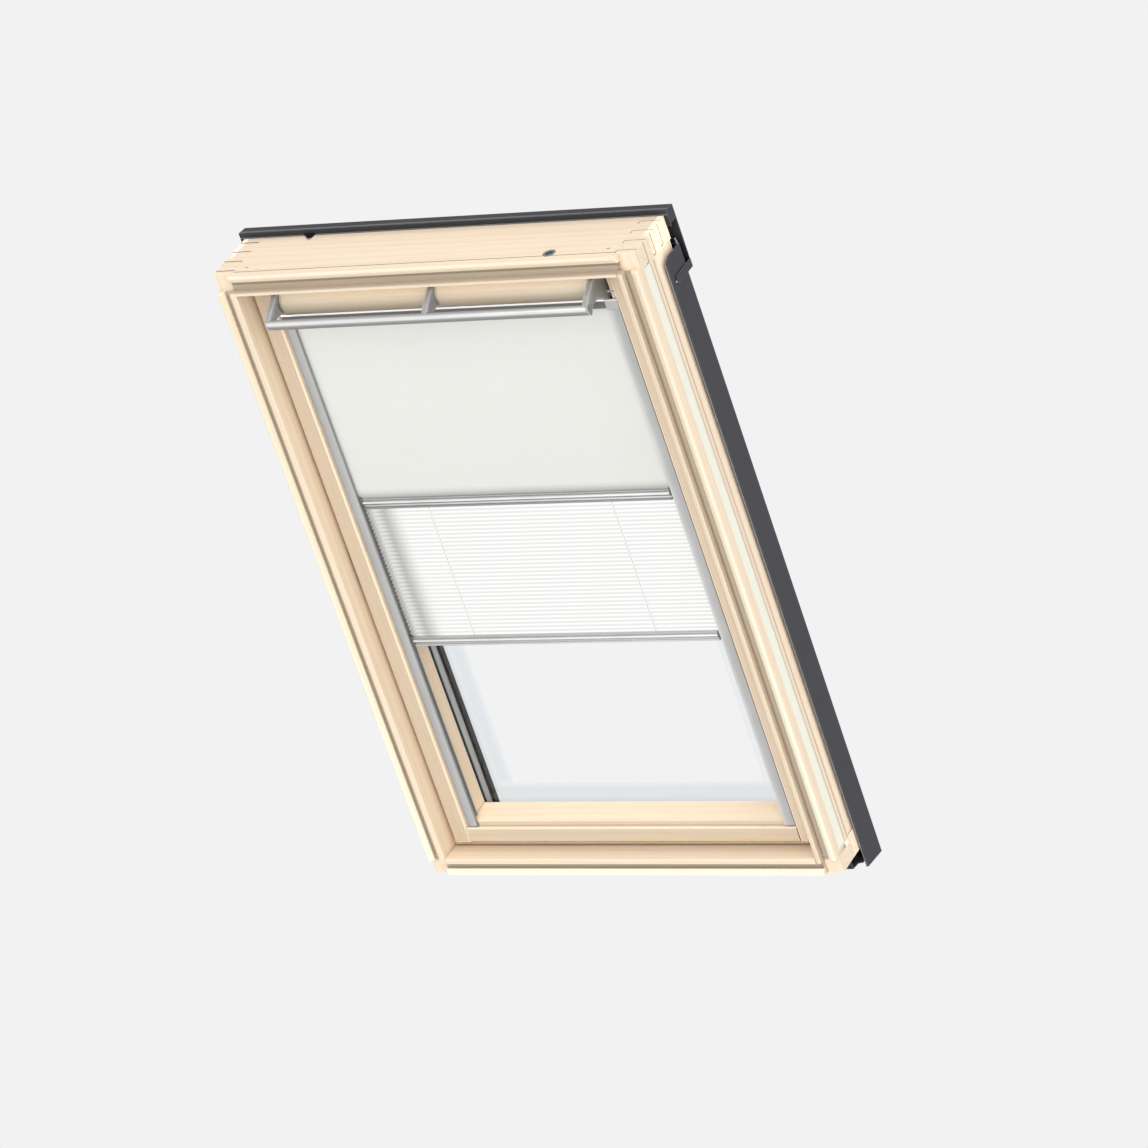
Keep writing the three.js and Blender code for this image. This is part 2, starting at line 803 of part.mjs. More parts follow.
// Section shared by the stiles and the bottom rail, as distance in and depth.
const sashSection = (outer, rebate) => [
  [outer, sashFront, sashRound],
  [sashStepIn, sashFront, sashRound],
  [sashStepIn, ledgeDepth],
  [ledgeIn, ledgeDepth],
  [seatIn, seatDepth],
  [rebate, seatDepth],
  [rebate, sashBack],
  [outer, sashBack],
];

for (const [name, side] of [['left', -1], ['right', 1]]) {
  const across = (distance) => side * (halfWidth - distance);
  const section = rounded(sashSection(sashIn, rebateIn).map(([a, d, r]) => [across(a), d, r]));
  const mitre = [
    [across(sashJointIn), -overrun],
    [across(sashJointIn), sashJointIn],
    [across(far), far],
    [across(far), -overrun],
  ].map(([x, z]) => new THREE.Vector2(z, x));
  const holes = side > 0 ? [boltTubeHole] : [];
  piece(`sash_stile_${name}`, cut(
    run(section, 'z', sashBottomIn, fromTop(sashIn)),
    run(mitre, 'y', 0, frameDepth),
    flapPinHole(side, flapPinInner - overrun),
    ...holes,
  ), pine);
}

const bottomSection = rounded(sashSection(sashBottomIn, rebateLow).map(([a, d, r]) => [d, a, r]));
const bottomEnds = [-1, 1].map((side) => {
  const across = (distance) => side * (halfWidth - distance);
  const outline = [
    [across(-overrun), -overrun],
    [across(sashJointIn + fit), -overrun],
    [across(sashJointIn + fit), sashJointIn],
    [across(far + fit), far],
    [across(-overrun), far],
  ].map(([x, z]) => new THREE.Vector2(z, x));
  return run(outline, 'y', 0, frameDepth);
});
piece('sash_bottom_rail', cut(run(bottomSection, 'x', -sashOuter, sashOuter), ...bottomEnds), pine);

// Top rail: thinner at the front, where the flap and the blind casing sit, with a tongue at each end
const topSection = fromTopPoints([
  [topRailFront, sashIn],
  [topRailFront, topRailIn],
  [topSeatFront, topRailIn],
  [topSeatFront, seatIn],
  [seatDepth, seatIn],
  [seatDepth, rebateIn],
  [sashBack, rebateIn],
  [sashBack, sashIn],
]).map(([d, z]) => new THREE.Vector2(d, z));
const topRailHalf = halfWidth - seatIn - fit;
const tongueCentre = lockFront + lockWide / 2;
const lockBottom = fromTop(sashIn + fit + lockDeep);
const lockTop = fromTop(sashIn + fit);
piece('sash_top_rail', cut(
  joined(
    run(topSection, 'x', -topRailHalf, topRailHalf),
    ...[-1, 1].map((side) => block(
      [side * (topRailHalf - overrun), side * (halfWidth - rebateIn - fit)],
      [seatDepth + fit, sashBack],
      [fromTop(rebateIn), fromTop(sashIn)],
    )),
  ),
  block(
    [-lockHalfWidth - fit, lockHalfWidth + fit],
    [lockFront - fit, lockFront + lockWide + fit],
    [lockBottom - fit, fromTop(sashIn - overrun)],
  ),
), pine);

piece('lock_case', cut(
  block([-lockHalfWidth, lockHalfWidth], [lockFront, lockFront + lockWide], [lockBottom, lockTop]),
  block(
    [-tongueHalfWidth - tonguePlay, tongueHalfWidth + tonguePlay],
    [tongueCentre - tongueWide / 2 - tonguePlay, tongueCentre + tongueWide / 2 + tonguePlay],
    [fromTop(tongueTop + tongueLong + lockTravel + tonguePlay), fromTop(sashIn - overrun)],
  ),
), steel);
piece('latch_tongue', block(
  [-tongueHalfWidth, tongueHalfWidth],
  [tongueCentre - tongueWide / 2, tongueCentre + tongueWide / 2],
  [fromTop(tongueTop + tongueLong), fromTop(tongueTop)],
), steel);

// Barrel bolt and the tube that it slides in
const boltOuter = sashOuter - fit;
piece('bolt_tube', cut(
  rod('x', boltCentre, boltTubeRadius, boltTubeInner, boltOuter),
  rod('x', boltCentre, boltRadius + boltPlay, boltTubeInner - overrun, boltOuter + overrun),
), steel);
piece('barrel_bolt', rod('x', boltCentre, boltRadius, boltOuter - boltLong, boltOuter), steel);

// Glazing: gasket, two panes and the spacer between them
function ring([outer, outerDrop], [inner, innerDrop], front, thick) {
  const frameOf = (distance, drop) => [
    [distance - halfWidth, halfWidth - distance],
    [distance - drop, fromTop(distance)],
  ];
  const [outerX, outerZ] = frameOf(outer, outerDrop);
  const [innerX, innerZ] = frameOf(inner, innerDrop);
  return cut(
    block(outerX, [front, front + thick], outerZ),
    block(innerX, [front - overrun, front + thick + overrun], innerZ),
  );
}
const gasketFront = seatDepth + fit;
const innerPaneFront = gasketFront + gasketThick + fit;
const spacerFront = innerPaneFront + glassThick + fit;
const outerPaneFront = spacerFront + spacerThick - fit;
const paneX = [glassIn - halfWidth, halfWidth - glassIn];
const paneZ = [glassLow, fromTop(glassIn)];
const spacerOuter = glassIn + spacerInset;
const spacerInner = spacerOuter + spacerWide;
const gasketEdges = [[glassIn, glassDrop], [seatIn, gasketInnerDrop]];
const spacerEdges = [[spacerOuter, glassDrop], [spacerInner, spacerInnerDrop]];
piece('glazing_gasket', ring(...gasketEdges, gasketFront, gasketThick), blackRubber);
piece('pane_inner', block(paneX, [innerPaneFront, innerPaneFront + glassThick], paneZ), glass);
piece('glazing_spacer', ring(...spacerEdges, spacerFront, spacerThick - fit * 2), spacerGrey);
piece('pane_outer', block(paneX, [outerPaneFront, outerPaneFront + glassThick], paneZ), glass);

// Seal round the sash, broken at the pivots
const sealTop = fromTop(memberWidth + sealGap);
// The lower half swings out between the frame's side covers, so its seal is narrower.
const sealSide = frameInner - sealSideGap;
const sealSideLower = halfWidth - coverIn - sealSideGap;
for (const [name, side, low, high] of [
  ['lower', sealSideLower, memberWidth + sealGap, pivotHigh - sealBreak],
  ['upper', sealSide, pivotHigh + sealBreak, sealTop],
]) {
  piece(`sash_seal_${name}`, cut(
    block([-side, side], [sealDepth, sealDepth + sealThick], [low, high]),
    block(
      [-sashOuter - fit, sashOuter + fit],
      [sealDepth - overrun, sealDepth + sealThick + overrun],
      [
        Math.max(low - overrun, sashBottomIn - fit),
        Math.min(high + overrun, fromTop(sashIn - fit)),
      ],
    ),
  ), blackRubber);
}

// Outer covers of the sash
const glassBack = outerPaneFront + glassThick;
const sashCoverSection = (outer, back, legIn, inner) => [
  [outer, back - sheet],
  [legIn, back - sheet],
  [legIn, sashBack + fit],
  [legIn + sheet, sashBack + fit],
  [legIn + sheet, back - sheet],
  [inner - sheet, back - sheet],
  [inner - sheet, glassBack + fit],
  [inner, glassBack + fit],
  [inner, back],
  [outer, back],
];
const sashCoverHalf = halfWidth - sashCoverIn;
const sideCoverOutline = sashCoverSection(sashCoverIn, sashCoverBack, sashCoverIn + sheet, sashCoverInner);
for (const [name, side] of [['left', -1], ['right', 1]]) {
  const outline = sideCoverOutline.map(([a, d]) => new THREE.Vector2(side * (halfWidth - a), d));
  piece(`sash_cover_${name}`, run(
    outline, 'z', sashBottomCoverInner + fit, fromTop(sashCoverInner + fit),
  ), darkMetal);
}
// The cross covers reach down to the glass only between the stiles.
function crossCover(outline) {
  const half = halfWidth - rebateIn - fit;
  return cut(
    run(outline, 'x', -sashCoverHalf, sashCoverHalf),
    ...[-1, 1].map((side) => block(
      [side * half, side * halfWidth],
      [glassBack, sashBack + fit],
      [0, frameHeight],
    )),
  );
}
piece('sash_cover_top', crossCover(
  sideCoverOutline.map(([a, d]) => new THREE.Vector2(d, fromTop(a))),
), darkMetal);
piece('sash_cover_bottom', crossCover(
  sashCoverSection(sashBottomCoverLow, sashBottomCoverBack, sashBottomRibIn, sashBottomCoverInner)
    .map(([a, d]) => new THREE.Vector2(d, a)),
), darkMetal);

// Ventilation flap, its brackets and the handle bar

const flapOutline = fromTopPoints([
  [flapAxisDepth, flapTop],
  [flapAxisDepth - flapTopReach, flapTop],
  ...bow(
    [flapAxisDepth - flapCreaseReach, flapCreaseIn],
    [flapAxisDepth - flapCrownReach, flapCrownIn],
    [flapAxisDepth - flapTurnReach, flapTurnIn],
    flapSteps,
  ),
  [flapBottomDepth, flapBottomIn],
  [flapAxisDepth, flapBottomIn],
]).map(([d, z]) => new THREE.Vector2(d, z));
piece('vent_flap', run(flapOutline, 'x', -bracketInner + fit, bracketInner - fit), pine);

// Turns an outline in shares into one in depth and height.
const fromShares = (shares, [reach, deep], [top, tall]) => rounded(fromTopPoints(
  shares.map(([d, a, r]) => [flapAxisDepth - reach + d * deep, top + a * tall, r * tall]),
));
const handleOutline = fromShares(barShares, [barReach, barDeep], [barTop, barTall]);
const bracketShape = fromShares(bracketShares, [bracketReach, bracketDeep], [bracketTop, bracketTall]);
piece('handle_bar', run(handleOutline, 'x', -barEnd + fit, barEnd - fit), silver);
const barSpace = run(grown(handleOutline, fit), 'x', -barEnd, barEnd);
// Each outer bracket closes the end of the bar with a plate of the bar's own outline.
for (const [name, side] of [['left', -1], ['right', 1]]) {
  piece(`flap_bracket_${name}`, cut(
    joined(
      run(bracketShape, 'x', side * bracketInner, side * bracketOuter),
      run(handleOutline, 'x', side * (barEnd - fit), side * bracketOuter),
    ),
    barSpace,
    flapPinHole(side, flapPinInner - fit),
  ), bracketGrey);
  piece(`flap_pin_${name}`, rod(
    'x', flapAxis, flapPinRadius, side * flapPinInner, side * flapPinOuter,
  ), steel);
}
piece('flap_bracket_middle', cut(
  run(bracketShape, 'x', -middleBracketHalf, middleBracketHalf),
  barSpace,
  run(grown(flapOutline, fit), 'x', -halfWidth, halfWidth),
  block([-halfWidth, halfWidth], [flapBottomDepth, frameDepth], [0, frameHeight]),
), bracketGrey);

// Blind: casing, roller, rails, bars and cloths

const casingOutline = fromTopPoints([
  [casingFront, casingLip],
  [casingNeck, casingNeckIn],
  [casingShoulder, casingTop],
  [casingBack, casingTopBack],
  [casingBack, casingBottom],
  [casingFront, casingBottom],
]).map(([d, z]) => new THREE.Vector2(d, z));
piece('blind_casing', cut(
  run(casingOutline, 'x', -casingHalfLength, casingHalfLength),
  run(grown(casingOutline, -casingWall), 'x', -halfWidth, halfWidth),
  block(
    [-halfWidth, halfWidth],
    [clothDepth - slotHalf, clothDepth + slotHalf],
    [fromTop(casingBottom + overrun), fromTop(casingBottom - casingWall - fit)],
  ),
), silver);

const rollerCentre = [rollerDepth, fromTop(rollerIn)];
const capInner = casingHalfLength + fit;
const capOuter = capInner + capThick;
for (const [name, side] of [['left', -1], ['right', 1]]) {
  piece(`casing_cap_${name}`, cut(
    joined(
      run(casingOutline, 'x', side * capInner, side * capOuter),
      block(
        [side * capInner, side * railOuter],
        [railFront, railFront + railLeg],
        [fromTop(capFlangeBottom), fromTop(casingLip)],
      ),
    ),
    rod('x', rollerCentre, rollerPinRadius + fit, side * (capInner - overrun), side * (capOuter + overrun)),
  ), greyPlastic);

  const railOutline = [
    [railInner, railFront],
    [railOuter, railFront],
    [railOuter, railFront + railLeg],
    [railWebInner + railWebThick, railFront + railLeg],
    [railWebInner + railWebThick, railBackFront + railBackLeg],
    [railInner, railBackFront + railBackLeg],
    [railInner, railBackFront],
    [railWebInner, railBackFront],
    [railWebInner, railFront + railLeg],
    [railInner, railFront + railLeg],
  ].map(([x, d]) => new THREE.Vector2(side * x, d));
  piece(`side_rail_${name}`, cut(
    run(railOutline, 'z', railLow, fromTop(capFlangeBottom + fit)),
    block(
      [side * (railInner - overrun), side * railOuter],
      [railFront + railLeg, frameDepth],
      [railLow - overrun, railBackLow],
    ),
  ), silver);
}

piece('roller_tube', joined(
  rod('x', rollerCentre, tubeRadius, -casingHalfLength + fit * 2, casingHalfLength - fit * 2),
  rod('x', rollerCentre, rollerPinRadius, -capOuter + fit * 2, capOuter - fit * 2),
), steel);
piece('cloth_roll', cut(
  rod('x', rollerCentre, clothRollRadius, -clothRollHalf, clothRollHalf),
  rod('x', rollerCentre, tubeRadius + fit, -halfWidth, halfWidth),
), blackoutWhite);

// Section of a bar of the blind, about the height of its middle.
function barSection(middle, tall) {
  const top = tall / 2;
  const recess = barLipFront + barRecess;
  const beadTop = top - barLipTall - barRecessTall;
  const beadBottom = beadTop - beadRadius * 2;
  return rounded([
    [barBack, -top],
    [barBack, top],
    [barLipFront, top],
    [barLipFront, top - barLipTall],
    [recess, top - barLipTall],
    [recess, beadTop],
    [beadFront, beadTop, beadRadius - fit],
    [beadFront, beadBottom, beadRadius - fit],
    [recess, beadBottom],
    [recess, barFrontLipTall - top],
    [barLipFront, barFrontLipTall - top],
    [barLipFront, barBevel - top],
    [barLipFront + barBevel, -top],
  ].map(([d, h, r]) => [d, middle + h, r]));
}

for (const [name, middle, tall] of [
  ['middle', middleBarHigh, middleBarTall],
  ['lower', lowerBarHigh, lowerBarTall],
]) {
  piece(`${name}_bar`, run(barSection(middle, tall), 'x', -barHalf, barHalf), silver);
  for (const [end, side] of [['left', -1], ['right', 1]]) {
    piece(`${name}_bar_glide_${end}`, block(
      [side * glideInner, side * glideOuter],
      [glideFront, glideBack],
      [middle - glideTall / 2, middle + glideTall / 2],
    ), greyPlastic);
  }
}

const middleBarTop = middleBarHigh + middleBarTall / 2;
const middleBarBottom = middleBarHigh - middleBarTall / 2;
const lowerBarTop = lowerBarHigh + lowerBarTall / 2;
const clothThickness = [clothDepth - clothThick / 2, clothDepth + clothThick / 2];
const neckLow = fromTop(capFlangeBottom + fit);
piece('blackout_cloth', joined(
  block([-clothHalf, clothHalf], clothThickness, [middleBarTop + fit, neckLow]),
  block(
    [-clothNeckHalf, clothNeckHalf],
    clothThickness,
    [middleBarTop + fit, fromTop(casingBottom - clothHidden)],
  ),
), blackoutWhite);

// Pleated cloth: a zigzag sheet with a hole in each fold for the two cords
const pleatTop = middleBarBottom - pleatEndGap;
const pleatBottom = lowerBarTop + pleatEndGap;
const pleatStep = (pleatTop - pleatBottom) / (pleatCount * 2);
const foldCorners = Array.from({ length: pleatCount * 2 + 1 }, (unused, index) => [
  index % 2 === 0 ? pleatBack - pleatWall : pleatFront,
  pleatBottom + index * pleatStep,
]);
const pleatOutline = [
  ...foldCorners,
  ...foldCorners.map(([d, z]) => [d + pleatWall, z]).reverse(),
].map(([d, z]) => new THREE.Vector2(d, z));
piece('pleated_cloth', cut(
  run(pleatOutline, 'x', -pleatHalf, pleatHalf),
  ...[-1, 1].map((side) => block(
    [side * pleatCordX - pleatHoleHalf, side * pleatCordX + pleatHoleHalf],
    [pleatCordDepth - pleatHoleHalf, pleatCordDepth + pleatHoleHalf],
    [pleatBottom - overrun, pleatTop + overrun],
  )),
), pleatWhite);
for (const [name, side] of [['left', -1], ['right', 1]]) {
  piece(`pleat_cord_${name}`, rod(
    'z', [side * pleatCordX, pleatCordDepth], pleatCordRadius,
    lowerBarTop + fit, middleBarBottom - fit, wireSides,
  ), pleatWhite);
}

// The origin lies in the middle of the frame's bottom face, behind the lips
windowGroup.position.y = -originDepth;
const part = new THREE.Group();
part.add(windowGroup);

export default part;
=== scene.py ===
"""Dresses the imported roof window: pine, dark outer covers, insulating glass and a two cloth blind.

Metres. X runs across the window seen from the room, Z up along it and Y to the outside.
"""

import logging
import math
from dataclasses import dataclass
from enum import Enum
from typing import Any, Callable, Iterable, Mapping, Sequence, Union

import bpy
from mathutils import Matrix, Vector


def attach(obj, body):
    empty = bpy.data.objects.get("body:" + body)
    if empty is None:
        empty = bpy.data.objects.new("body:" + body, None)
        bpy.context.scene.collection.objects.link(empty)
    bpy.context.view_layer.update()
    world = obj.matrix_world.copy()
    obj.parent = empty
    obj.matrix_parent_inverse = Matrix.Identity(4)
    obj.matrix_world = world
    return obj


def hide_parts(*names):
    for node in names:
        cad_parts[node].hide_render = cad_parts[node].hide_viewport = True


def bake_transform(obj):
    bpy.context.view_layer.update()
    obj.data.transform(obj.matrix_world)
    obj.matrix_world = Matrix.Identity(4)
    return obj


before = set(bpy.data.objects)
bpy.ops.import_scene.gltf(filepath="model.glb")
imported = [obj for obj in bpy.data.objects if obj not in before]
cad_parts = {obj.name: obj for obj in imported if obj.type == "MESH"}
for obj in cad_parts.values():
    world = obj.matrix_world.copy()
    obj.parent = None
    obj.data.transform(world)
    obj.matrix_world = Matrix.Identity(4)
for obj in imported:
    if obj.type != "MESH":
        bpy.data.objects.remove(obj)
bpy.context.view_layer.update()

log = logging.getLogger("window")
Colour = tuple[float, float, float, float]
Place = tuple[float, float, float]

MM = 0.001
FRAME_HIGH = 1178 * MM
FRAME_DEEP = 126 * MM
HALF_WIDE = 390 * MM
MEMBER_WIDE = 36.6 * MM
ORIGIN_DEPTH = 30 * MM
EDGE_SAMPLES = 6
STEEP = 6.0
ENDS = (("left", -1), ("right", 1))


def paint(red: float, green: float, blue: float) -> Colour:
    """Turns a colour as a screen shows it into the light that it stands for.

    Args:
        red, green, blue: The colour's parts, from 0 to 255.

    Returns:
        The four values of a colour socket.
    """
    def light(part: float) -> float:
        """Undoes the screen's curve for one part."""
        share = part / 255
        return share / 12.92 if share <= 0.04045 else ((share + 0.055) / 1.055) ** 2.4

    return (light(red), light(green), light(blue), 1.0)


def outward(depth: float) -> float:
    """Returns the Y of a depth in millimetres behind the room face of the lips."""
    return depth * MM - ORIGIN_DEPTH


def below_top(distance: float) -> float:
    """Returns the Z of a distance in millimetres below the top of the frame."""
    return FRAME_HIGH - distance * MM


class Grain(Enum):
    """The way that the fibres of a piece run."""

    ACROSS = "across"
    UPRIGHT = "upright"


class Axis(Enum):
    """A direction, by its place in a vector."""

    ACROSS = 0
    OUT = 1
    UP = 2


@dataclass(frozen=True)
class Hem:
    """A painted highlight line on the faces that look one way, between two distances along an axis."""

    axis: Axis
    low: float
    high: float
    facing: Axis
    share: float = 1.0


@dataclass(frozen=True)
class Strip:
    """A strip of painted shade along the top member, by its distance below the top and its depth, in
    millimetres.
    """

    top: float
    low: float
    front: float
    back: float
    blur: float
    share: float


def folded(operation: str, flipped: bool = False) -> Callable[["Signal", "Number"], "Signal"]:
    """Returns a method that joins a signal and another value by a Math node.

    Args:
        operation: The Math node's operation.
        flipped: Whether the other value comes first.

    Returns:
        The method.
    """
    def method(first: "Signal", second: "Number") -> "Signal":
        """Joins two values."""
        return first.joined_by(operation, second, flipped)

    return method


class Signal:
    """A shader socket that takes part in sums, as a number does."""

    def __init__(self, recipe: "Recipe", socket: bpy.types.NodeSocket) -> None:
        """Keeps the socket and the recipe that it belongs to."""
        self.recipe = recipe
        self.socket = socket

    def joined_by(self, operation: str, other: "Number", flipped: bool = False) -> "Signal":
        """Adds a Math node on this value and another.

        Args:
            operation: The Math node's operation.
            other: The second value, or the first one if flipped.
            flipped: Whether the two change places.

        Returns:
            The node's result.
        """
        pair = (other, self) if flipped else (self, other)
        node = self.recipe.node("ShaderNodeMath", {"operation": operation}, {0: pair[0], 1: pair[1]})
        return Signal(self.recipe, node.outputs[0])

    __add__ = __radd__ = folded("ADD")
    __sub__, __rsub__ = folded("SUBTRACT"), folded("SUBTRACT", True)
    __mul__ = __rmul__ = folded("MULTIPLY")
    __truediv__, __pow__ = folded("DIVIDE"), folded("POWER")
    smaller, larger = folded("MINIMUM"), folded("MAXIMUM")

    def size(self) -> "Signal":
        """Returns the value without its sign."""
        return self.joined_by("ABSOLUTE", 0.0)

    def wave(self) -> "Signal":
        """Returns a sine of the value, from 0 to 1."""
        return self.joined_by("SINE", 0.0) * 0.5 + 0.5

    def within(self, low: float = 0.0, high: float = 1.0) -> "Signal":
        """Returns the value held between two limits."""
        return self.larger(low).smaller(high)

    def line(self, place: float, half: float) -> "Signal":
        """Returns 1 on a thin line where the value is at a place, and 0 beside it."""
        return (self - place).size().below(half, half * 0.8)

    def between(self, low: float, high: float, blur: float) -> "Signal":
        """Returns 1 where the value lies between two others."""
        return (self - (low + high) / 2).size().below((high - low) / 2, blur)

    def below(self, edge: float, blur: float) -> "Signal":
        """Returns 1 where the value is under an edge and 0 over it.

        Args:
            edge: Where the change lies.
            blur: How wide the change is.

        Returns:
            The mask.
        """
        settings = {"interpolation_type": "SMOOTHSTEP"}
        inputs = {0: self, 1: edge - blur / 2, 2: edge + blur / 2, 3: 1.0, 4: 0.0}
        return Signal(self.recipe, self.recipe.node("ShaderNodeMapRange", settings, inputs).outputs[0])


Number = Union[float, int, Signal]
Link = Union[Signal, bpy.types.NodeSocket, float, Sequence[float]]


class Recipe:
    """Builds one node material around a Principled shader."""

    def __init__(self, name: str, sheet: tuple[float, float] | None = None) -> None:
        """Starts a material with a bare shader and its output.

        Args:
            name: The material's name.
            sheet: The width and length of the cloth that the pattern lies on, or nothing
                where the pattern lies in space.
        """
        self.sheet = sheet
        self.material = bpy.data.materials.new(name)
        self.material.use_nodes = True
        self.tree = self.material.node_tree
        self.tree.nodes.clear()
        self.shader = self.tree.nodes.new("ShaderNodeBsdfPrincipled")
        self.output = self.tree.nodes.new("ShaderNodeOutputMaterial")
        self.tree.links.new(self.shader.outputs[0], self.output.inputs[0])

    def feed(self, node: bpy.types.Node, inputs: Mapping[Union[str, int], Link]) -> None:
        """Sets or links the sockets of a node.

        Args:
            node: The node to feed.
            inputs: Its values or links, by socket name or number.
        """
        for key, value in inputs.items():
            source = value.socket if isinstance(value, Signal) else value
            if isinstance(source, bpy.types.NodeSocket):
                self.tree.links.new(source, node.inputs[key])
            else:
                node.inputs[key].default_value = source

    def node(
        self,
        kind: str,
        settings: Mapping[str, Any] | None = None,
        inputs: Mapping[Union[str, int], Link] | None = None,
    ) -> bpy.types.Node:
        """Adds one node.

        Args:
            kind: The node's type.
            settings: Its own settings, with a ramp's stops under "stops".
            inputs: The values or links of its sockets.

        Returns:
            The new node.
        """
        node = self.tree.nodes.new(kind)
        for key, value in (settings or {}).items():
            if key != "stops":
                setattr(node, key, value)
                continue
            elements = node.color_ramp.elements
            while len(elements) < len(value):
                elements.new(0.5)
            for element, (place, colour) in zip(elements, value):
                element.position = place
                element.color = colour
        self.feed(node, inputs or {})
        return node

    def place(self) -> bpy.types.NodeSocket:
        """Returns the place on the object or on its cloth, in metres."""
        spots = self.node("ShaderNodeTexCoord").outputs
        if self.sheet is None:
            return spots["Object"]
        inputs = {"Vector": spots["UV"], "Scale": (*self.sheet, 1.0)}
        return self.node("ShaderNodeMapping", None, inputs).outputs[0]

    def parts(self, vector: bpy.types.NodeSocket) -> tuple[Signal, Signal, Signal]:
        """Splits a place into its three distances."""
        node = self.node("ShaderNodeSeparateXYZ", None, {0: vector})
        return tuple(Signal(self, socket) for socket in node.outputs)

    def noise(self, scale: Place, detail: float = 2.0, rough: float = 0.5) -> Signal:
        """Returns soft noise.

        Args:
            scale: How many turns it makes in a metre along each axis.
            detail: How many finer layers it has.
            rough: How strong the finer layers are.

        Returns:
            A value round 0.5.
        """
        spot = self.node("ShaderNodeMapping", None, {"Vector": self.place(), "Scale": scale}).outputs[0]
        inputs = {"Vector": spot, "Scale": 1.0, "Detail": detail, "Roughness": rough}
        return Signal(self, self.node("ShaderNodeTexNoise", None, inputs).outputs[0])

    def mixed(self, first: Link, second: Link, share: Number) -> bpy.types.NodeSocket:
        """Returns a colour between two others."""
        inputs = {0: share, 6: first, 7: second}
        return self.node("ShaderNodeMix", {"data_type": "RGBA"}, inputs).outputs[2]

    def scaled(self, colour: Link, gain: Signal) -> bpy.types.NodeSocket:
        """Returns a colour made brighter or darker."""
        inputs = {0: colour, "Scale": gain}
        return self.node("ShaderNodeVectorMath", {"operation": "SCALE"}, inputs).outputs[0]

    def turned(self) -> tuple[Signal, Signal, Signal]:
        """Returns how far the surface faces sideways, the room and the top, each from 0 to 1."""
        x, y, z = self.parts(self.node("ShaderNodeTexCoord").outputs["Normal"])
        return x.size().within(), (y * -1.0).within(), z.within()

    def shelter(self, distance: float) -> Signal:
        """Returns how open the surface is, from 0 deep in a groove to 1 on a flat face.

        Args:
            distance: How far off a neighbour still counts, in metres.

        Returns:
            The openness.
        """
        node = self.node("ShaderNodeAmbientOcclusion", {"samples": EDGE_SAMPLES}, {"Distance": distance})
        return Signal(self, node.outputs["AO"])

    def arris(self, radius: float) -> Signal:
        """Returns 1 along the sharp edges of a piece and 0 away from them."""
        soft = self.node("ShaderNodeBevel", {"samples": EDGE_SAMPLES}, {"Radius": radius}).outputs[0]
        flat = self.node("ShaderNodeNewGeometry").outputs["True Normal"]
        turned = self.node("ShaderNodeVectorMath", {"operation": "DOT_PRODUCT"}, {0: soft, 1: flat})
        return ((1.0 - Signal(self, turned.outputs["Value"])) * 14.0).within()

    def ramp(self, value: Signal, stops: Sequence[tuple[float, Colour]]) -> bpy.types.NodeSocket:
        """Returns a colour that follows a value through a row of stops."""
        return self.node("ShaderNodeValToRGB", {"stops": stops}, {0: value}).outputs[0]

    def bumped(self, height: Signal | None, distance: float, strength: float, edge: float) -> None:
        """Gives the shader its normal.

        Args:
            height: The relief, or nothing for a smooth surface.
            distance: What a height of 1 stands for, in metres.
            strength: How much of the relief shows.
            edge: The radius that softens the arrises, in metres.
        """
        normal: Link = (0.0, 0.0, 0.0)
        if edge > 0:
            normal = self.node("ShaderNodeBevel", {"samples": EDGE_SAMPLES}, {"Radius": edge}).outputs[0]
        if height is not None:
            inputs = {"Height": height, "Distance": distance, "Strength": strength}
            if edge > 0:
                inputs["Normal"] = normal
            normal = self.node("ShaderNodeBump", None, inputs).outputs[0]
        if isinstance(normal, bpy.types.NodeSocket):
            self.feed(self.shader, {"Normal": normal})


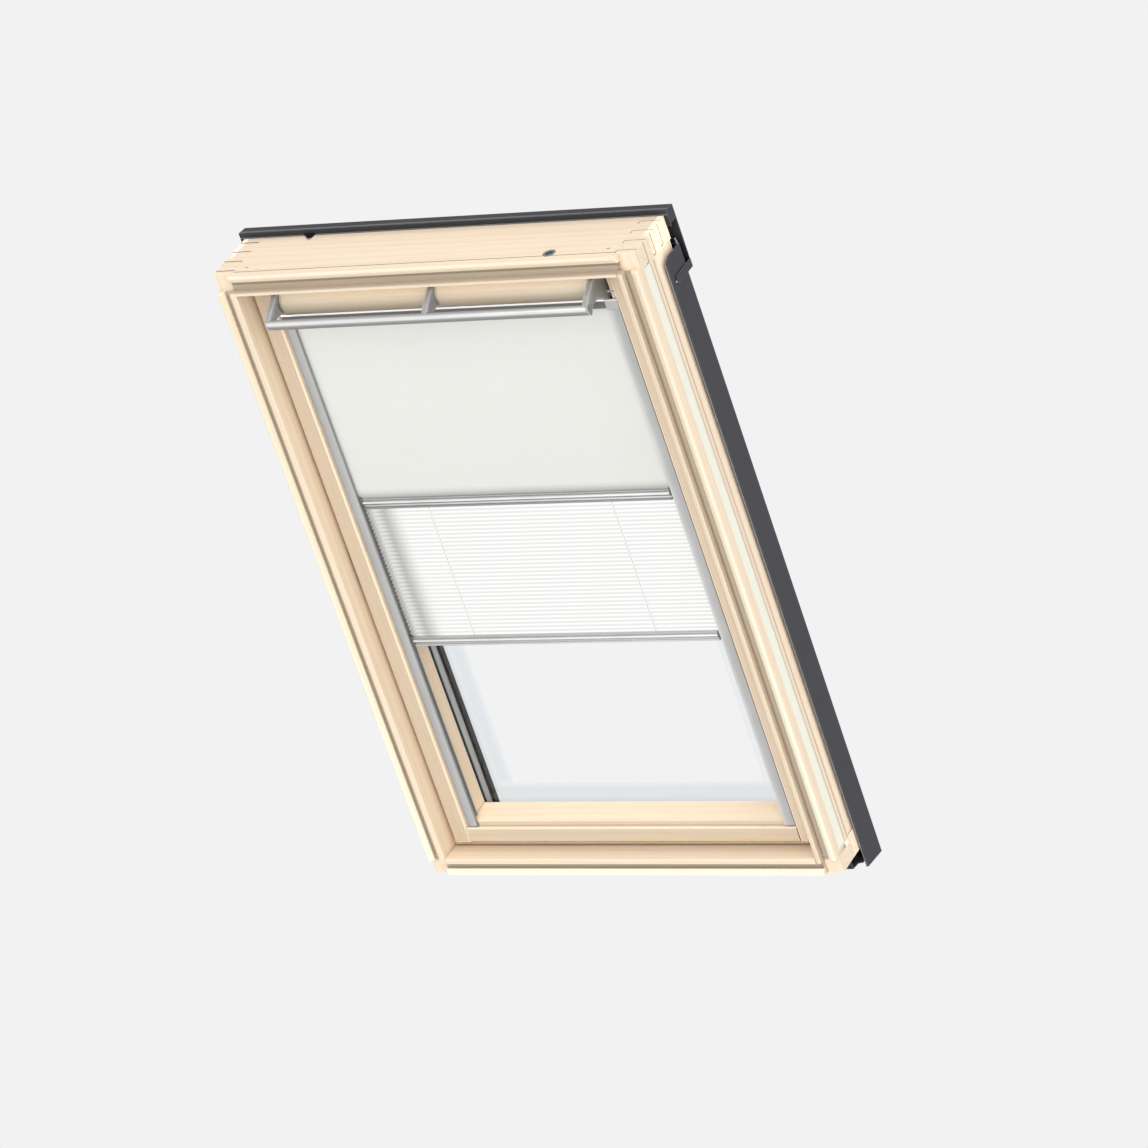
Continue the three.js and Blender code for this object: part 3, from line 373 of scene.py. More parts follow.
@dataclass(frozen=True)
class Pine:
    """Clear lacquered pine with quiet grain, with painted shade in its grooves and painted highlights along
    its arrises.
    """

    name: str
    grain: Grain
    pale: Colour = paint(254, 235, 208)
    dark: Colour = paint(245, 218, 188)
    # groove is the colour of the painted shade in grooves and hollows, bright that of the painted
    # highlights, and line that of the drawn lines and, on the flap, of its painted shade.
    groove: Colour = paint(112, 103, 90)
    bright: Colour = paint(255, 255, 232)
    line: Colour = paint(112, 96, 76)
    edge: float = 0.45 * MM
    # arris and arris_open set the painted highlights, reach and gloom the painted shade in corners, and the
    # three gains paint light and shade by which way a face looks.
    arris: float = 2.0 * MM
    arris_open: float = 0.7
    reach: float = 8 * MM
    side_painted_light: float = 0.97
    room_painted_light: float = 0.77
    top_painted_light: float = 1.05
    gloom: float = 1.0

    def marks(self, recipe: Recipe, x: Signal, y: Signal, z: Signal) -> Signal | None:
        """Returns where dark lines or painted shade are drawn, which plain pine has none of."""
        return None

    def glow(self, room: Signal, x: Signal, y: Signal, z: Signal) -> Signal | None:
        """Returns where a painted highlight lies on the wood, which plain pine has nowhere."""
        return None

    def hollow(self, x: Signal, y: Signal, z: Signal) -> Signal | None:
        """Returns how much painted shade a place in a groove gets, which plain pine has none of."""
        return None

    def lift(self, x: Signal, y: Signal, z: Signal) -> Number:
        """Returns how much painted light brightens a place, which it does nowhere on plain pine."""
        return 0.0

    def lit(self, side: Signal, top: Signal, z: Signal) -> Signal:
        """Returns how much of the painted shade in the corners shows, less where the light falls in."""
        return 1.0 - top * 0.5

    def material(self) -> bpy.types.Material:
        """Builds the wood with its fibres along the piece, painted light by which way a face looks, painted
        shade in its grooves and painted highlights along its arrises.
        """
        recipe = Recipe(f"{self.name}_{self.grain.value}")
        x, y, z = recipe.parts(recipe.place())
        if self.grain is Grain.ACROSS:
            scale, aside = (1.1, 24.0, 24.0), z
        else:
            scale, aside = (24.0, 24.0, 1.1), x
        broad = recipe.noise(scale, 2.0, 0.45)
        rings = ((aside * 420.0 + y * 330.0 + broad * 11.0).wave()) ** 4.0
        fibres = recipe.noise(tuple(part * 30.0 for part in scale), 3.0, 0.6)
        streaks = recipe.noise(tuple(part * 6.0 for part in scale), 2.0, 0.5)
        tone = rings * 0.4 + (broad - 0.5) * 0.6 + (streaks - 0.5) * 0.9 + (fibres - 0.5) * 0.4 + 0.16
        colour = recipe.mixed(self.pale, self.dark, tone.within())
        # Painted light and shade by which way a face looks, and painted light and shade from lift.
        side, room, top = recipe.turned()
        gain = side * (self.side_painted_light - 1.0) + room * (self.room_painted_light - 1.0)
        gain = gain + top * (self.top_painted_light - 1.0) + 1.0 + self.lift(x, y, z)
        # Painted highlight on the lips and painted shade in the grooves.
        glow, hollow = self.glow(room, x, y, z), self.hollow(x, y, z)
        if glow is not None:
            colour = recipe.mixed(colour, self.bright, glow)
        colour = recipe.scaled(colour, gain)
        # Painted shade in corners and grooves, from how open the surface is.
        openness = recipe.shelter(self.reach)
        dark = ((0.92 - openness) * 2.1).within(0.0, 0.97) * self.lit(side, top, z) * self.gloom
        colour = recipe.mixed(colour, self.groove, dark)
        # Painted highlight along the open arrises.
        edges = recipe.arris(self.arris) * ((openness - self.arris_open) * STEEP).within()
        colour = recipe.mixed(colour, self.bright, edges * 0.9)
        # Painted shade in the grooves, on the ledge and in the gap.
        if hollow is not None:
            colour = recipe.mixed(colour, self.groove, hollow)
        # Drawn joint lines and nail marks, and on the flap painted shade.
        marks = self.marks(recipe, x, y, z)
        if marks is not None:
            colour = recipe.mixed(colour, self.line, marks)
        recipe.feed(recipe.shader, {
            "Base Color": colour,
            "Roughness": 0.44 + fibres * 0.12 - edges * 0.1,
            "Coat Weight": 0.12,
            "Coat Roughness": 0.3,
            "Specular IOR Level": 0.35,
        })
        recipe.bumped(fibres * 0.6 + rings * 0.4, 0.08 * MM, 0.3, self.edge)
        return recipe.material


@dataclass(frozen=True)
class FramePine(Pine):
    """Pine of the outer frame, with the lines of its comb joints, its slots and its nail marks, painted
    shade in its grooves, gap and ledge, and a painted highlight on its lips.
    """

    comb_shares: tuple[float, ...] = (0.1944, 0.3651, 0.4286, 0.5794, 0.6683, 0.7976, 0.8944)
    hook: float = 8.5 * MM
    half: float = 0.8 * MM
    # The three gains paint light and shade by which way a face looks.
    side_painted_light: float = 0.93
    room_painted_light: float = 1.0
    top_painted_light: float = 1.0
    lip_ends: float = 13.3 * MM
    block_starts: float = 27.7 * MM
    top_line: float = 18.9
    slot_line: float = 48.3
    cove_line: float = 59.2
    cove_ends: float = 40 * MM
    face_deep: float = 1.0 * MM
    # Where painted shade, painted light and painted highlights lie on the frame.
    ledge_starts: float = 30 * MM
    gap_front: float = 40.9
    gap_back: float = 45.4
    gap_blur: float = 0.8
    under_front: float = 47.0
    under_back: float = 58.0
    slope_starts: float = 12.0
    slope_long: float = 30 * MM
    floor_front: float = 3.0
    floor_back: float = 12.6
    lip_deep: float = 9.0
    block_deep: float = 6.0
    beside_wide: float = 9 * MM
    beside_starts: float = 60.0
    beside_long: float = 20 * MM
    strips: tuple[Strip, ...] = (
        Strip(12.2, 17.0, 2.5, 10.5, 1.5, 0.5),
        Strip(13.0, 20.3, 9.5, 13.0, 1.5, 0.74),
        Strip(26.9, 30.1, -1.0, 11.8, 0.8, 0.5),
    )
    nails: tuple[tuple[float, float, float], ...] = (
        (335.5, 31.7, 3.2), (359.0, 36.4, 1.4), (312.8, 24.4, 1.2), (389.3, 55.7, 1.2),
    )
    side_nails: tuple[tuple[float, float, float], ...] = (
        (74.6, 79.5, 1.9), (72.4, 81.0, 1.2), (65.4, 102.0, 1.2), (26.7, 92.0, 1.2), (77.9, 57.4, 1.2),
    )

    def glow(self, room: Signal, x: Signal, y: Signal, z: Signal) -> Signal:
        """Paints a highlight on the lips, the lower ones most."""
        low = (0.95 - z / FRAME_HIGH).within()
        away = (x.size() * -1.0 + HALF_WIDE).smaller(z).smaller(z * -1.0 + FRAME_HIGH)
        return low * room * y.below(outward(self.lip_deep), 2 * MM) * away.below(self.lip_ends, MM)

    def lit(self, side: Signal, top: Signal, z: Signal) -> Signal:
        """Shows less painted corner shade where the light falls: on the top member, the outer sides and, a
        little, on the bottom member.
        """
        high = (z * -1.0 + FRAME_HIGH).below(MEMBER_WIDE, MM)
        low = z.below(MEMBER_WIDE - 2 * MM, MM)
        ledge = z.between(MEMBER_WIDE - MM, MEMBER_WIDE + MM, 0.4 * MM)
        return (1.0 - high * 0.8 - low * 0.3 - ledge * 0.8) * (1.0 - side * 0.8)

    def on_ledge(self, z: Signal) -> Signal:
        """Returns 1 on the ledge of the bottom member."""
        return z.between(self.ledge_starts, MEMBER_WIDE + 0.6 * MM, 0.6 * MM)

    def hollow(self, x: Signal, y: Signal, z: Signal) -> Signal:
        """Shades the groove's floor, the top member's lip and wall, and the ledge under the sash."""
        down = z * -1.0 + FRAME_HIGH
        away = (x.size() * -1.0 + HALF_WIDE).smaller(z).smaller(down)

        def deep(front: float, back: float, blur: float = 1.0) -> Signal:
            """Returns 1 between two depths."""
            return y.between(outward(front), outward(back), blur * MM)

        floor = away.between(self.lip_ends, self.block_starts, 2 * MM)
        floor = floor * deep(self.floor_front, self.floor_back)
        right = (x * -1.0).below(MEMBER_WIDE - HALF_WIDE, MM)
        level = down.below(MEMBER_WIDE, MM) * 0.12 + z.below(MEMBER_WIDE, MM) * 0.1 + right * 0.14 + 0.35
        total = floor * level
        inner = x.size().below(HALF_WIDE - self.lip_ends, MM)
        for strip in self.strips:
            tall = down.between(strip.top * MM, strip.low * MM, strip.blur * MM)
            total = total.larger(tall * deep(strip.front, strip.back) * inner * strip.share)
        ledge = self.on_ledge(z) * y.below(outward(self.gap_back + self.gap_blur), self.gap_blur * MM)
        slope = ((y - outward(self.slope_starts)) / self.slope_long).within() * 0.4
        gap = deep(self.gap_front, self.gap_back, self.gap_blur) * 0.72
        return total.larger(ledge * slope.larger(gap))

    def lift(self, x: Signal, y: Signal, z: Signal) -> Signal:
        """Lightens the sides next to the covers and dims the inner blocks, apart from the top one."""
        from_side = x.size() * -1.0 + HALF_WIDE
        away = from_side.smaller(z)
        block = away.between(self.block_starts, MEMBER_WIDE, 2 * MM)
        block = block * y.below(outward(self.block_deep), 2 * MM) * z.below(FRAME_HIGH - MEMBER_WIDE, MM)
        beside = from_side.below(self.beside_wide, MM)
        beside = beside * ((y - outward(self.beside_starts)) / self.beside_long).within()
        under = self.on_ledge(z) * y.between(outward(self.under_front), outward(self.under_back), MM)
        return beside * 0.5 + under * 0.5 - block * 0.07

    def nail(self, along: Signal, y: Signal, depth: float, size: float) -> Signal:
        """Draws one nail mark, longer along the wood than across it.

        Args:
            along: The distance from the mark along the wood.
            y: The place in depth.
            depth: The mark's depth in millimetres.
            size: How large the mark is in millimetres.

        Returns:
            How dark it is.
        """
        spot = (along ** 2.0 * 0.3 + (y - outward(depth)) ** 2.0) ** 0.5
        return spot.below(size * MM * 0.55, 0.8 * MM) * 0.75

    def marks(self, recipe: Recipe, x: Signal, y: Signal, z: Signal) -> Signal:
        """Draws the joint lines, the two long side lines, the top line and the nail marks."""
        from_side = x.size() * -1.0 + HALF_WIDE
        from_end = z.smaller(z * -1.0 + FRAME_HIGH)
        on_end = from_end.below(self.face_deep, 0.4 * MM)
        on_side = from_side.below(self.face_deep, 0.4 * MM)
        wide = MEMBER_WIDE
        across = from_side.between(wide, HALF_WIDE * 2, MM)
        total = on_end * y.line(outward(self.top_line), self.half) * across
        for index, share in enumerate(self.comb_shares):
            depth = share * FRAME_DEEP - ORIGIN_DEPTH
            face, along = (on_end, from_side) if index % 2 == 0 else (on_side, z * -1.0 + FRAME_HIGH)
            thick = x.below(0.0, MM) * self.half * 0.7 + self.half
            straight = ((y - depth).size() / thick).below(1.0, 0.8) * along.between(-wide, wide - MM, MM)
            hook = along.line(wide - MM, self.half) * y.between(depth - self.hook, depth, MM)
            hook = hook * (x * -1.0).below(0.0, MM)
            total = total.larger(face * straight.larger(hook) * 0.9)
        upright = from_end.between(self.cove_ends, FRAME_HIGH, 3 * MM)
        for depth, strength in ((self.slot_line, 0.45), (self.cove_line, 0.6)):
            long = y.line(outward(depth), self.half * 1.4) * upright
            total = total.larger(on_side * long * strength)
        for away, depth, size in self.nails:
            total = total.larger(on_end * self.nail(from_side + (away * MM - HALF_WIDE), y, depth, size))
        for depth, along, size in self.side_nails:
            total = total.larger(on_side * self.nail(from_end - along * MM, y, depth, size))
        return total


@dataclass(frozen=True)
class StilePine(Pine):
    """Pine of the sash's stiles, with painted light beside the blind's rails."""

    rail_ends: float = 312 * MM
    lifted: float = 0.34

    def lift(self, x: Signal, y: Signal, z: Signal) -> Signal:
        """Lightens the arris beside the rail."""
        return x.size().between(self.rail_ends, self.rail_ends + 6 * MM, 2 * MM) * self.lifted


@dataclass(frozen=True)
class FlapPine(Pine):
    """Pine of the flap, with painted shade where its curved face turns away from the light."""

    room_painted_light: float = 0.97
    top: float = 50.0
    low: float = 87.0

    def marks(self, recipe: Recipe, x: Signal, y: Signal, z: Signal) -> Signal:
        """Paints shade on the lower half of the curved face."""
        share = (z * -1.0 + below_top(self.top)) / ((self.low - self.top) * MM)
        return (share.within() ** 1.2) * 0.95


@dataclass(frozen=True)
class Coated:
    """Sheet metal under a fine matt coat, with painted shade inside its folds, painted highlights along its
    edges and painted light by which way a face looks.
    """

    name: str
    colour: Colour
    rough: float = 0.5
    metallic: float = 0.0
    edge: float = 0.5 * MM
    # reach sets the painted shade in folds; bright, arris, lit, arris_open, rim_ends and hems set the
    # painted highlights, and room_face and the two gains paint light and shade by which way a face looks.
    reach: float = 25 * MM
    gloss: float = 0.35
    bright: Colour = paint(128, 131, 139)
    arris: float = 1.6 * MM
    lit: float = 0.55
    room_face: Colour | None = None
    room_painted_light: float = 1.0
    top_painted_light: float = 1.0
    arris_open: float = 0.7
    rim_ends: float = 200.0
    hems: tuple[Hem, ...] = ()

    def material(self) -> bpy.types.Material:
        """Builds the coat with its fine texture, uneven sheen, painted shade and painted highlights."""
        recipe = Recipe(self.name)
        speckle = recipe.noise((1500.0, 1500.0, 1500.0), 2.0, 0.6)
        drift = recipe.noise((9.0, 9.0, 9.0), 3.0, 0.5)
        shade = tuple(part * 0.86 for part in self.colour[:3]) + (1.0,)
        deep = tuple(part * 0.04 for part in self.colour[:3]) + (1.0,)
        openness = recipe.shelter(self.reach)
        colour = recipe.mixed(self.colour, shade, (drift * 0.6 + speckle * 0.4 - 0.2).within())
        # Painted light and shade by which way a face looks.
        facing = recipe.turned()
        room, top = facing[Axis.OUT.value], facing[Axis.UP.value]
        if self.room_face is not None:
            colour = recipe.mixed(colour, self.room_face, room ** 1.5)
        gain = room * (self.room_painted_light - 1.0) + top * (self.top_painted_light - 1.0) + 1.0
        colour = recipe.scaled(colour, gain)
        # Painted shade inside folds and cavities.
        colour = recipe.mixed(colour, deep, ((0.8 - openness) * 1.6).within())
        # Painted highlights along the open edges in front of rim_ends, and painted highlight lines from the
        # hems.
        edges = recipe.arris(self.arris) * ((openness - self.arris_open) * STEEP).within() * self.lit
        edges = edges * recipe.parts(recipe.place())[Axis.OUT.value].below(outward(self.rim_ends), MM)
        for hem in self.hems:
            along = recipe.parts(recipe.place())[hem.axis.value]
            if hem.axis is Axis.ACROSS:
                along = along.size()
            hemmed = along.between(hem.low, hem.high, 0.8 * MM) * facing[hem.facing.value]
            edges = edges.larger(hemmed * hem.share)
        recipe.feed(recipe.shader, {
            "Base Color": recipe.mixed(colour, self.bright, edges),
            "Roughness": self.rough - 0.06 + drift * 0.12,
            "Metallic": self.metallic,
            "Specular IOR Level": self.gloss,
        })
        recipe.bumped(speckle, 0.04 * MM, 0.25, self.edge)
        return recipe.material


class Side(Enum):
    """What the painted shine of a drawn piece follows."""

    DOWN = "down"
    OUT = "out"


@dataclass(frozen=True)
class Drawn:
    """Metal with fine lines along the way that it was drawn, and painted bands of shine and shade across
    them.
    """

    name: str
    grain: Grain
    follows: Side
    start: float
    end: float
    stops: tuple[tuple[float, float], ...]
    rough: float = 0.32
    metallic: float = 0.85
    edge: float = 0.35 * MM
    reach: float = 8 * MM

    def material(self) -> bpy.types.Material:
        """Builds the metal with its drawing lines, its painted bands and painted shade in its hollows."""
        recipe = Recipe(self.name)
        x, _, z = recipe.parts(recipe.place())
        scale = (5.0, 1300.0, 1300.0) if self.grain is Grain.ACROSS else (1300.0, 1300.0, 5.0)
        lines = recipe.noise(scale, 2.0, 0.6)
        drift = recipe.noise((14.0, 14.0, 14.0), 2.0, 0.5)
        # Painted bands of shine and shade across the section.
        along = z if self.follows is Side.DOWN else x.size()
        share = (along - self.start) / (self.end - self.start)
        shine = recipe.ramp(share, [(place, paint(tone, tone, tone)) for place, tone in self.stops])
        # Painted shade in hollows.
        openness = recipe.shelter(self.reach)
        colour = recipe.mixed(shine, paint(70, 68, 66), ((0.75 - openness) * 0.9).within())
        worn = (lines * 0.5 + drift * 0.3 - 0.25).within(0.0, 0.3)
        recipe.feed(recipe.shader, {
            "Base Color": recipe.mixed(colour, paint(128, 127, 126), worn),
            "Roughness": self.rough - 0.05 + lines * 0.1,
            "Metallic": self.metallic,
        })
        recipe.bumped(lines, 0.015 * MM, 0.2, self.edge)
        return recipe.material


@dataclass(frozen=True)
class Moulded:
    """Plastic, rubber or foam with a fine skin."""

    name: str
    colour: Colour
    rough: float = 0.5
    cells: float = 900.0
    relief: float = 0.05 * MM
    edge: float = 0.4 * MM

    def material(self) -> bpy.types.Material:
        """Builds the moulded skin."""
        recipe = Recipe(self.name)
        skin = recipe.noise((self.cells,) * 3, 2.0, 0.6)
        drift = recipe.noise((20.0, 20.0, 20.0), 2.0, 0.5)
        shade = tuple(part * 0.9 for part in self.colour[:3]) + (1.0,)
        recipe.feed(recipe.shader, {
            "Base Color": recipe.mixed(self.colour, shade, (skin * 0.7 + drift * 0.5 - 0.1).larger(0.0)),
            "Roughness": self.rough - 0.05 + skin * 0.1,
        })
        recipe.bumped(skin, self.relief, 0.4, self.edge)
        return recipe.material


@dataclass(frozen=True)
class Pane:
    """Clear glass, a little bluer in a band along its edges."""

    name: str
    band: Colour = (1.0, 1.0, 1.0, 1.0)
    clear: Colour = (1.0, 1.0, 1.0, 1.0)
    half_wide: float = 240 * MM
    low: float = 119 * MM
    high: float = 1028 * MM

    def material(self) -> bpy.types.Material:
        """Builds the glass and its band."""
        recipe = Recipe(self.name)
        x, _, z = recipe.parts(recipe.place())
        inside = (x.size() * -1.0 + self.half_wide).smaller(z - self.low).smaller(z * -1.0 + self.high)
        haze = recipe.noise((12.0, 12.0, 12.0), 2.0, 0.5)
        recipe.feed(recipe.shader, {
            "Base Color": recipe.mixed(self.clear, self.band, inside.below(0.0, 1.5 * MM)),
            "Roughness": haze * 0.02,
            "IOR": 1.45,
            "Transmission Weight": 1.0,
        })
        return recipe.material


@dataclass(frozen=True)
class Woven:
    """A close cloth whose threads run across it and along it, with painted shade near what holds it."""

    name: str
    width: float
    length: float
    colour: Colour
    shade: Colour
    threads: float = 2600.0
    rough: float = 0.85
    # The fields from reach on set the painted shade in hollows and at the folds, the painted glow, and the
    # painted shadows near the foot and beside the left edge.
    reach: float = 12 * MM
    gloom: float = 0.3
    folds: int = 0
    crease_shade: float = 0.14
    glow: float = 0.0
    foot: float = 0.0
    fade: float = 18 * MM
    left: tuple[tuple[float, float], ...] = ()
    left_wide: float = 70 * MM

    def material(self) -> bpy.types.Material:
        """Builds the cloth with its threads, the faint clouds in it, painted shade and shadows at its
        creases, foot and left edge, and a painted glow.
        """
        recipe = Recipe(self.name, (self.width, self.length))
        across, along, _ = recipe.parts(recipe.place())
        weave = (across * self.threads).wave() * (along * self.threads).wave()
        cloud = recipe.noise((16.0, 16.0, 16.0), 4.0, 0.6)
        slub = recipe.noise((40.0, 900.0, 1.0), 2.0, 0.6) * 0.5
        slub = slub + recipe.noise((900.0, 40.0, 1.0), 2.0, 0.6) * 0.5
        tone = (cloud - 0.5) * 0.7 + (slub - 0.5) * 0.9 + weave * 0.2 + 0.2
        colour = recipe.mixed(self.colour, self.shade, tone.within())
        # Painted shade near what the cloth lies against.
        openness = recipe.shelter(self.reach)
        gain = 1.0 - ((0.95 - openness) * self.gloom).within(0.0, 0.85)
        # Painted shade at the pleats' ridges.
        if self.folds:
            turn = along * (math.pi * self.folds / self.length)
            ridge = turn.joined_by("COSINE", 0.0) * -1.0
            gain = gain * (ridge.below(0.5, 0.6) * self.crease_shade + (1.0 - self.crease_shade))
        # Painted shadow of the bar near the foot, and a slight painted shade that deepens towards the foot.
        if self.foot > 0:
            near = ((self.foot - along) / self.fade + 1.0).within()
            gain = gain * (1.0 - (near ** 1.4) * 0.48) * (along / self.length * 0.07 + 0.93)
        # Painted shadow band beside the left rail.
        if self.left:
            stops = [(place, (part, part, part, 1.0)) for place, part in self.left]
            gain = gain * Signal(recipe, recipe.ramp(across / self.left_wide, stops))
        colour = recipe.scaled(colour, gain)
        recipe.feed(recipe.shader, {
            "Base Color": colour,
            "Roughness": self.rough,
            "Sheen Weight": 0.05,
            "Specular IOR Level": 0.15,
        })
        # A painted glow, as if light came through the cloth.
        if self.glow > 0:
            white = recipe.scaled((1.0, 1.0, 0.99), gain)
            recipe.feed(recipe.shader, {"Emission Color": white, "Emission Strength": self.glow})
        recipe.bumped(weave * 0.5 + slub * 0.5, 0.05 * MM, 0.2, 0.0)
        return recipe.material


@dataclass(frozen=True)
class Corner:
    """A corner of an outline: depth, distance below the frame's top, and radius, in millimetres."""

    depth: float
    down: float
    radius: float = 0.0

    def spot(self) -> tuple[float, float]:
        """Returns the corner's Y and Z."""
        return outward(self.depth), below_top(self.down)


class Bench:
    """Shapes meshes with the modelling operators."""

    @staticmethod
    def clear() -> None:
        """Deselects everything."""
        if bpy.context.object and bpy.context.object.mode != "OBJECT":
            bpy.ops.object.mode_set(mode="OBJECT")
        bpy.ops.object.select_all(action="DESELECT")

    @staticmethod
    def take(piece: bpy.types.Object) -> None:
        """Makes a piece the only selected and active one."""
        Bench.clear()
        piece.select_set(True)
        bpy.context.view_layer.objects.active = piece

    @staticmethod
    def started(name: str) -> bpy.types.Object:
        """Names the primitive that was just added."""
        piece = bpy.context.object
        piece.name = name
        piece.data.name = name
        return piece

    @staticmethod
    def settle(piece: bpy.types.Object) -> None:
        """Moves a piece's place, turn and size into its mesh."""
        Bench.take(piece)
        bpy.ops.object.transform_apply(location=True, rotation=True, scale=True)

    @staticmethod
    def pick(piece: bpy.types.Object, edges: Iterable[int]) -> None:
        """Selects edges by number and goes into edit mode."""
        Bench.take(piece)
        bpy.ops.object.mode_set(mode="EDIT")
        bpy.ops.mesh.select_mode(type="EDGE")
        bpy.ops.mesh.select_all(action="DESELECT")
        bpy.ops.object.mode_set(mode="OBJECT")
        for number in edges:
            piece.data.edges[number].select = True
        bpy.ops.object.mode_set(mode="EDIT")

    @staticmethod
    def faces_out(piece: bpy.types.Object) -> None:
        """Merges doubles and turns every face outwards."""
        Bench.take(piece)
        bpy.ops.object.mode_set(mode="EDIT")
        bpy.ops.mesh.select_all(action="SELECT")
        bpy.ops.mesh.remove_doubles(threshold=1e-6)
        bpy.ops.mesh.normals_make_consistent(inside=False)
        bpy.ops.object.mode_set(mode="OBJECT")

    @staticmethod
    def smooth(piece: bpy.types.Object, degrees: float = 35.0) -> None:
        """Shades a piece smooth, apart from its sharp edges."""
        Bench.take(piece)
        bpy.ops.object.shade_smooth_by_angle(angle=math.radians(degrees))

    @staticmethod
    def drawn(
        name: str,
        corners: Sequence[Corner],
        start: float,
        end: float,
        steps: int = 6,
        arris: float = 0.0,
    ) -> bpy.types.Object:
        """Draws an outline out along X, rounds its corners and softens its ends.

        Args:
            name: The piece's name.
            corners: The outline.
            start, end: Where it starts and ends along X, in metres.
            steps: How many faces each round corner has.
            arris: The bevel round both ends, in metres.

        Returns:
            The piece.
        """
        Bench.clear()
        bpy.ops.mesh.primitive_circle_add(vertices=len(corners), radius=1.0, fill_type="NGON")
        piece = Bench.started(name)
        for vertex, corner in zip(piece.data.vertices, corners):
            vertex.co = Vector((start, *corner.spot()))
        bpy.ops.object.mode_set(mode="EDIT")
        bpy.ops.mesh.select_all(action="SELECT")
        bpy.ops.mesh.extrude_region_move(TRANSFORM_OT_translate={"value": (end - start, 0.0, 0.0)})
        bpy.ops.object.mode_set(mode="OBJECT")
        Bench.faces_out(piece)
        for index, corner in enumerate(corners):
            if corner.radius > 0:
                Bench.round_off(piece, corners, index, steps)
        if arris > 0:
            Bench.soften_ends(piece, start, end, arris)
        Bench.smooth(piece)
        return piece

    @staticmethod
    def round_off(piece: bpy.types.Object, corners: Sequence[Corner], index: int, steps: int) -> None:
        """Rounds the long edge that stands on one corner of the outline.

        Args:
            piece: The piece.
            corners: Its outline.
            index: The corner's number.
            steps: How many faces the round has.
        """
        here = Vector(corners[index].spot())
        before = Vector(corners[index - 1].spot())
        after = Vector(corners[(index + 1) % len(corners)].spot())
        half = (before - here).angle(after - here) / 2
        offset = corners[index].radius * MM / math.tan(half)
        mesh = piece.data

        def stands_here(edge: bpy.types.MeshEdge) -> bool:
            """Tells whether both ends of an edge lie on the corner."""
            spots = [mesh.vertices[number].co.yz for number in edge.vertices]
            return all((spot - here).length < 1e-6 for spot in spots)

        Bench.pick(piece, [edge.index for edge in mesh.edges if stands_here(edge)])
        bpy.ops.mesh.bevel(offset=offset, segments=steps, profile=0.5, affect="EDGES", clamp_overlap=False)
        bpy.ops.object.mode_set(mode="OBJECT")

    @staticmethod
    def soften_ends(piece: bpy.types.Object, start: float, end: float, width: float) -> None:
        """Bevels the edges round both ends of a drawn piece.

        Args:
            piece: The piece.
            start, end: Where its ends lie along X.
            width: The bevel's width.
        """
        mesh = piece.data

        def at_end(edge: bpy.types.MeshEdge) -> bool:
            """Tells whether an edge lies in an end face."""
            places = [mesh.vertices[number].co.x for number in edge.vertices]
            return any(all(abs(place - stop) < 1e-6 for place in places) for stop in (start, end))

        Bench.pick(piece, [edge.index for edge in mesh.edges if at_end(edge)])
        bpy.ops.mesh.bevel(offset=width, segments=2, profile=0.5, affect="EDGES", clamp_overlap=True)
        bpy.ops.object.mode_set(mode="OBJECT")

    @staticmethod
    def joined(first: bpy.types.Object, second: bpy.types.Object) -> bpy.types.Object:
        """Makes two overlapping pieces one solid, which keeps the first one's name."""
        Bench.take(first)
        union = first.modifiers.new("union", "BOOLEAN")
        union.operation = "UNION"
        union.solver = "EXACT"
        union.object = second
        bpy.ops.object.modifier_apply(modifier=union.name)
        Bench.take(second)
        bpy.ops.object.delete()
        Bench.smooth(first)
        return first


def dress(piece: bpy.types.Object, material: bpy.types.Material) -> None:
    """Puts one material on a piece."""
    piece.data.materials.clear()
    piece.data.materials.append(material)


def dress_nodes(material: bpy.types.Material, *names: str) -> None:
    """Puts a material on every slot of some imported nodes."""
    for name in names:
        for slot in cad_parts[name].material_slots:
            slot.material = material
        log.info("dressed %s", name)


def both(name: str) -> tuple[str, str]:
    """Returns the names of a left and a right piece."""
    return f"{name}_left", f"{name}_right"


def finished(
    piece: bpy.types.Object, body: str, slot: str, material: bpy.types.Material, *nodes: str,
) -> None:
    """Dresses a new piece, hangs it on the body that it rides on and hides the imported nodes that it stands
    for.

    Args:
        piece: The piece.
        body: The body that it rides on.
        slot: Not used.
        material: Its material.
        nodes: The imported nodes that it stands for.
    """
    dress(piece, material)
    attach(piece, body)
    if nodes:
        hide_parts(*nodes)
    log.info("made %s on %s", piece.name, body)


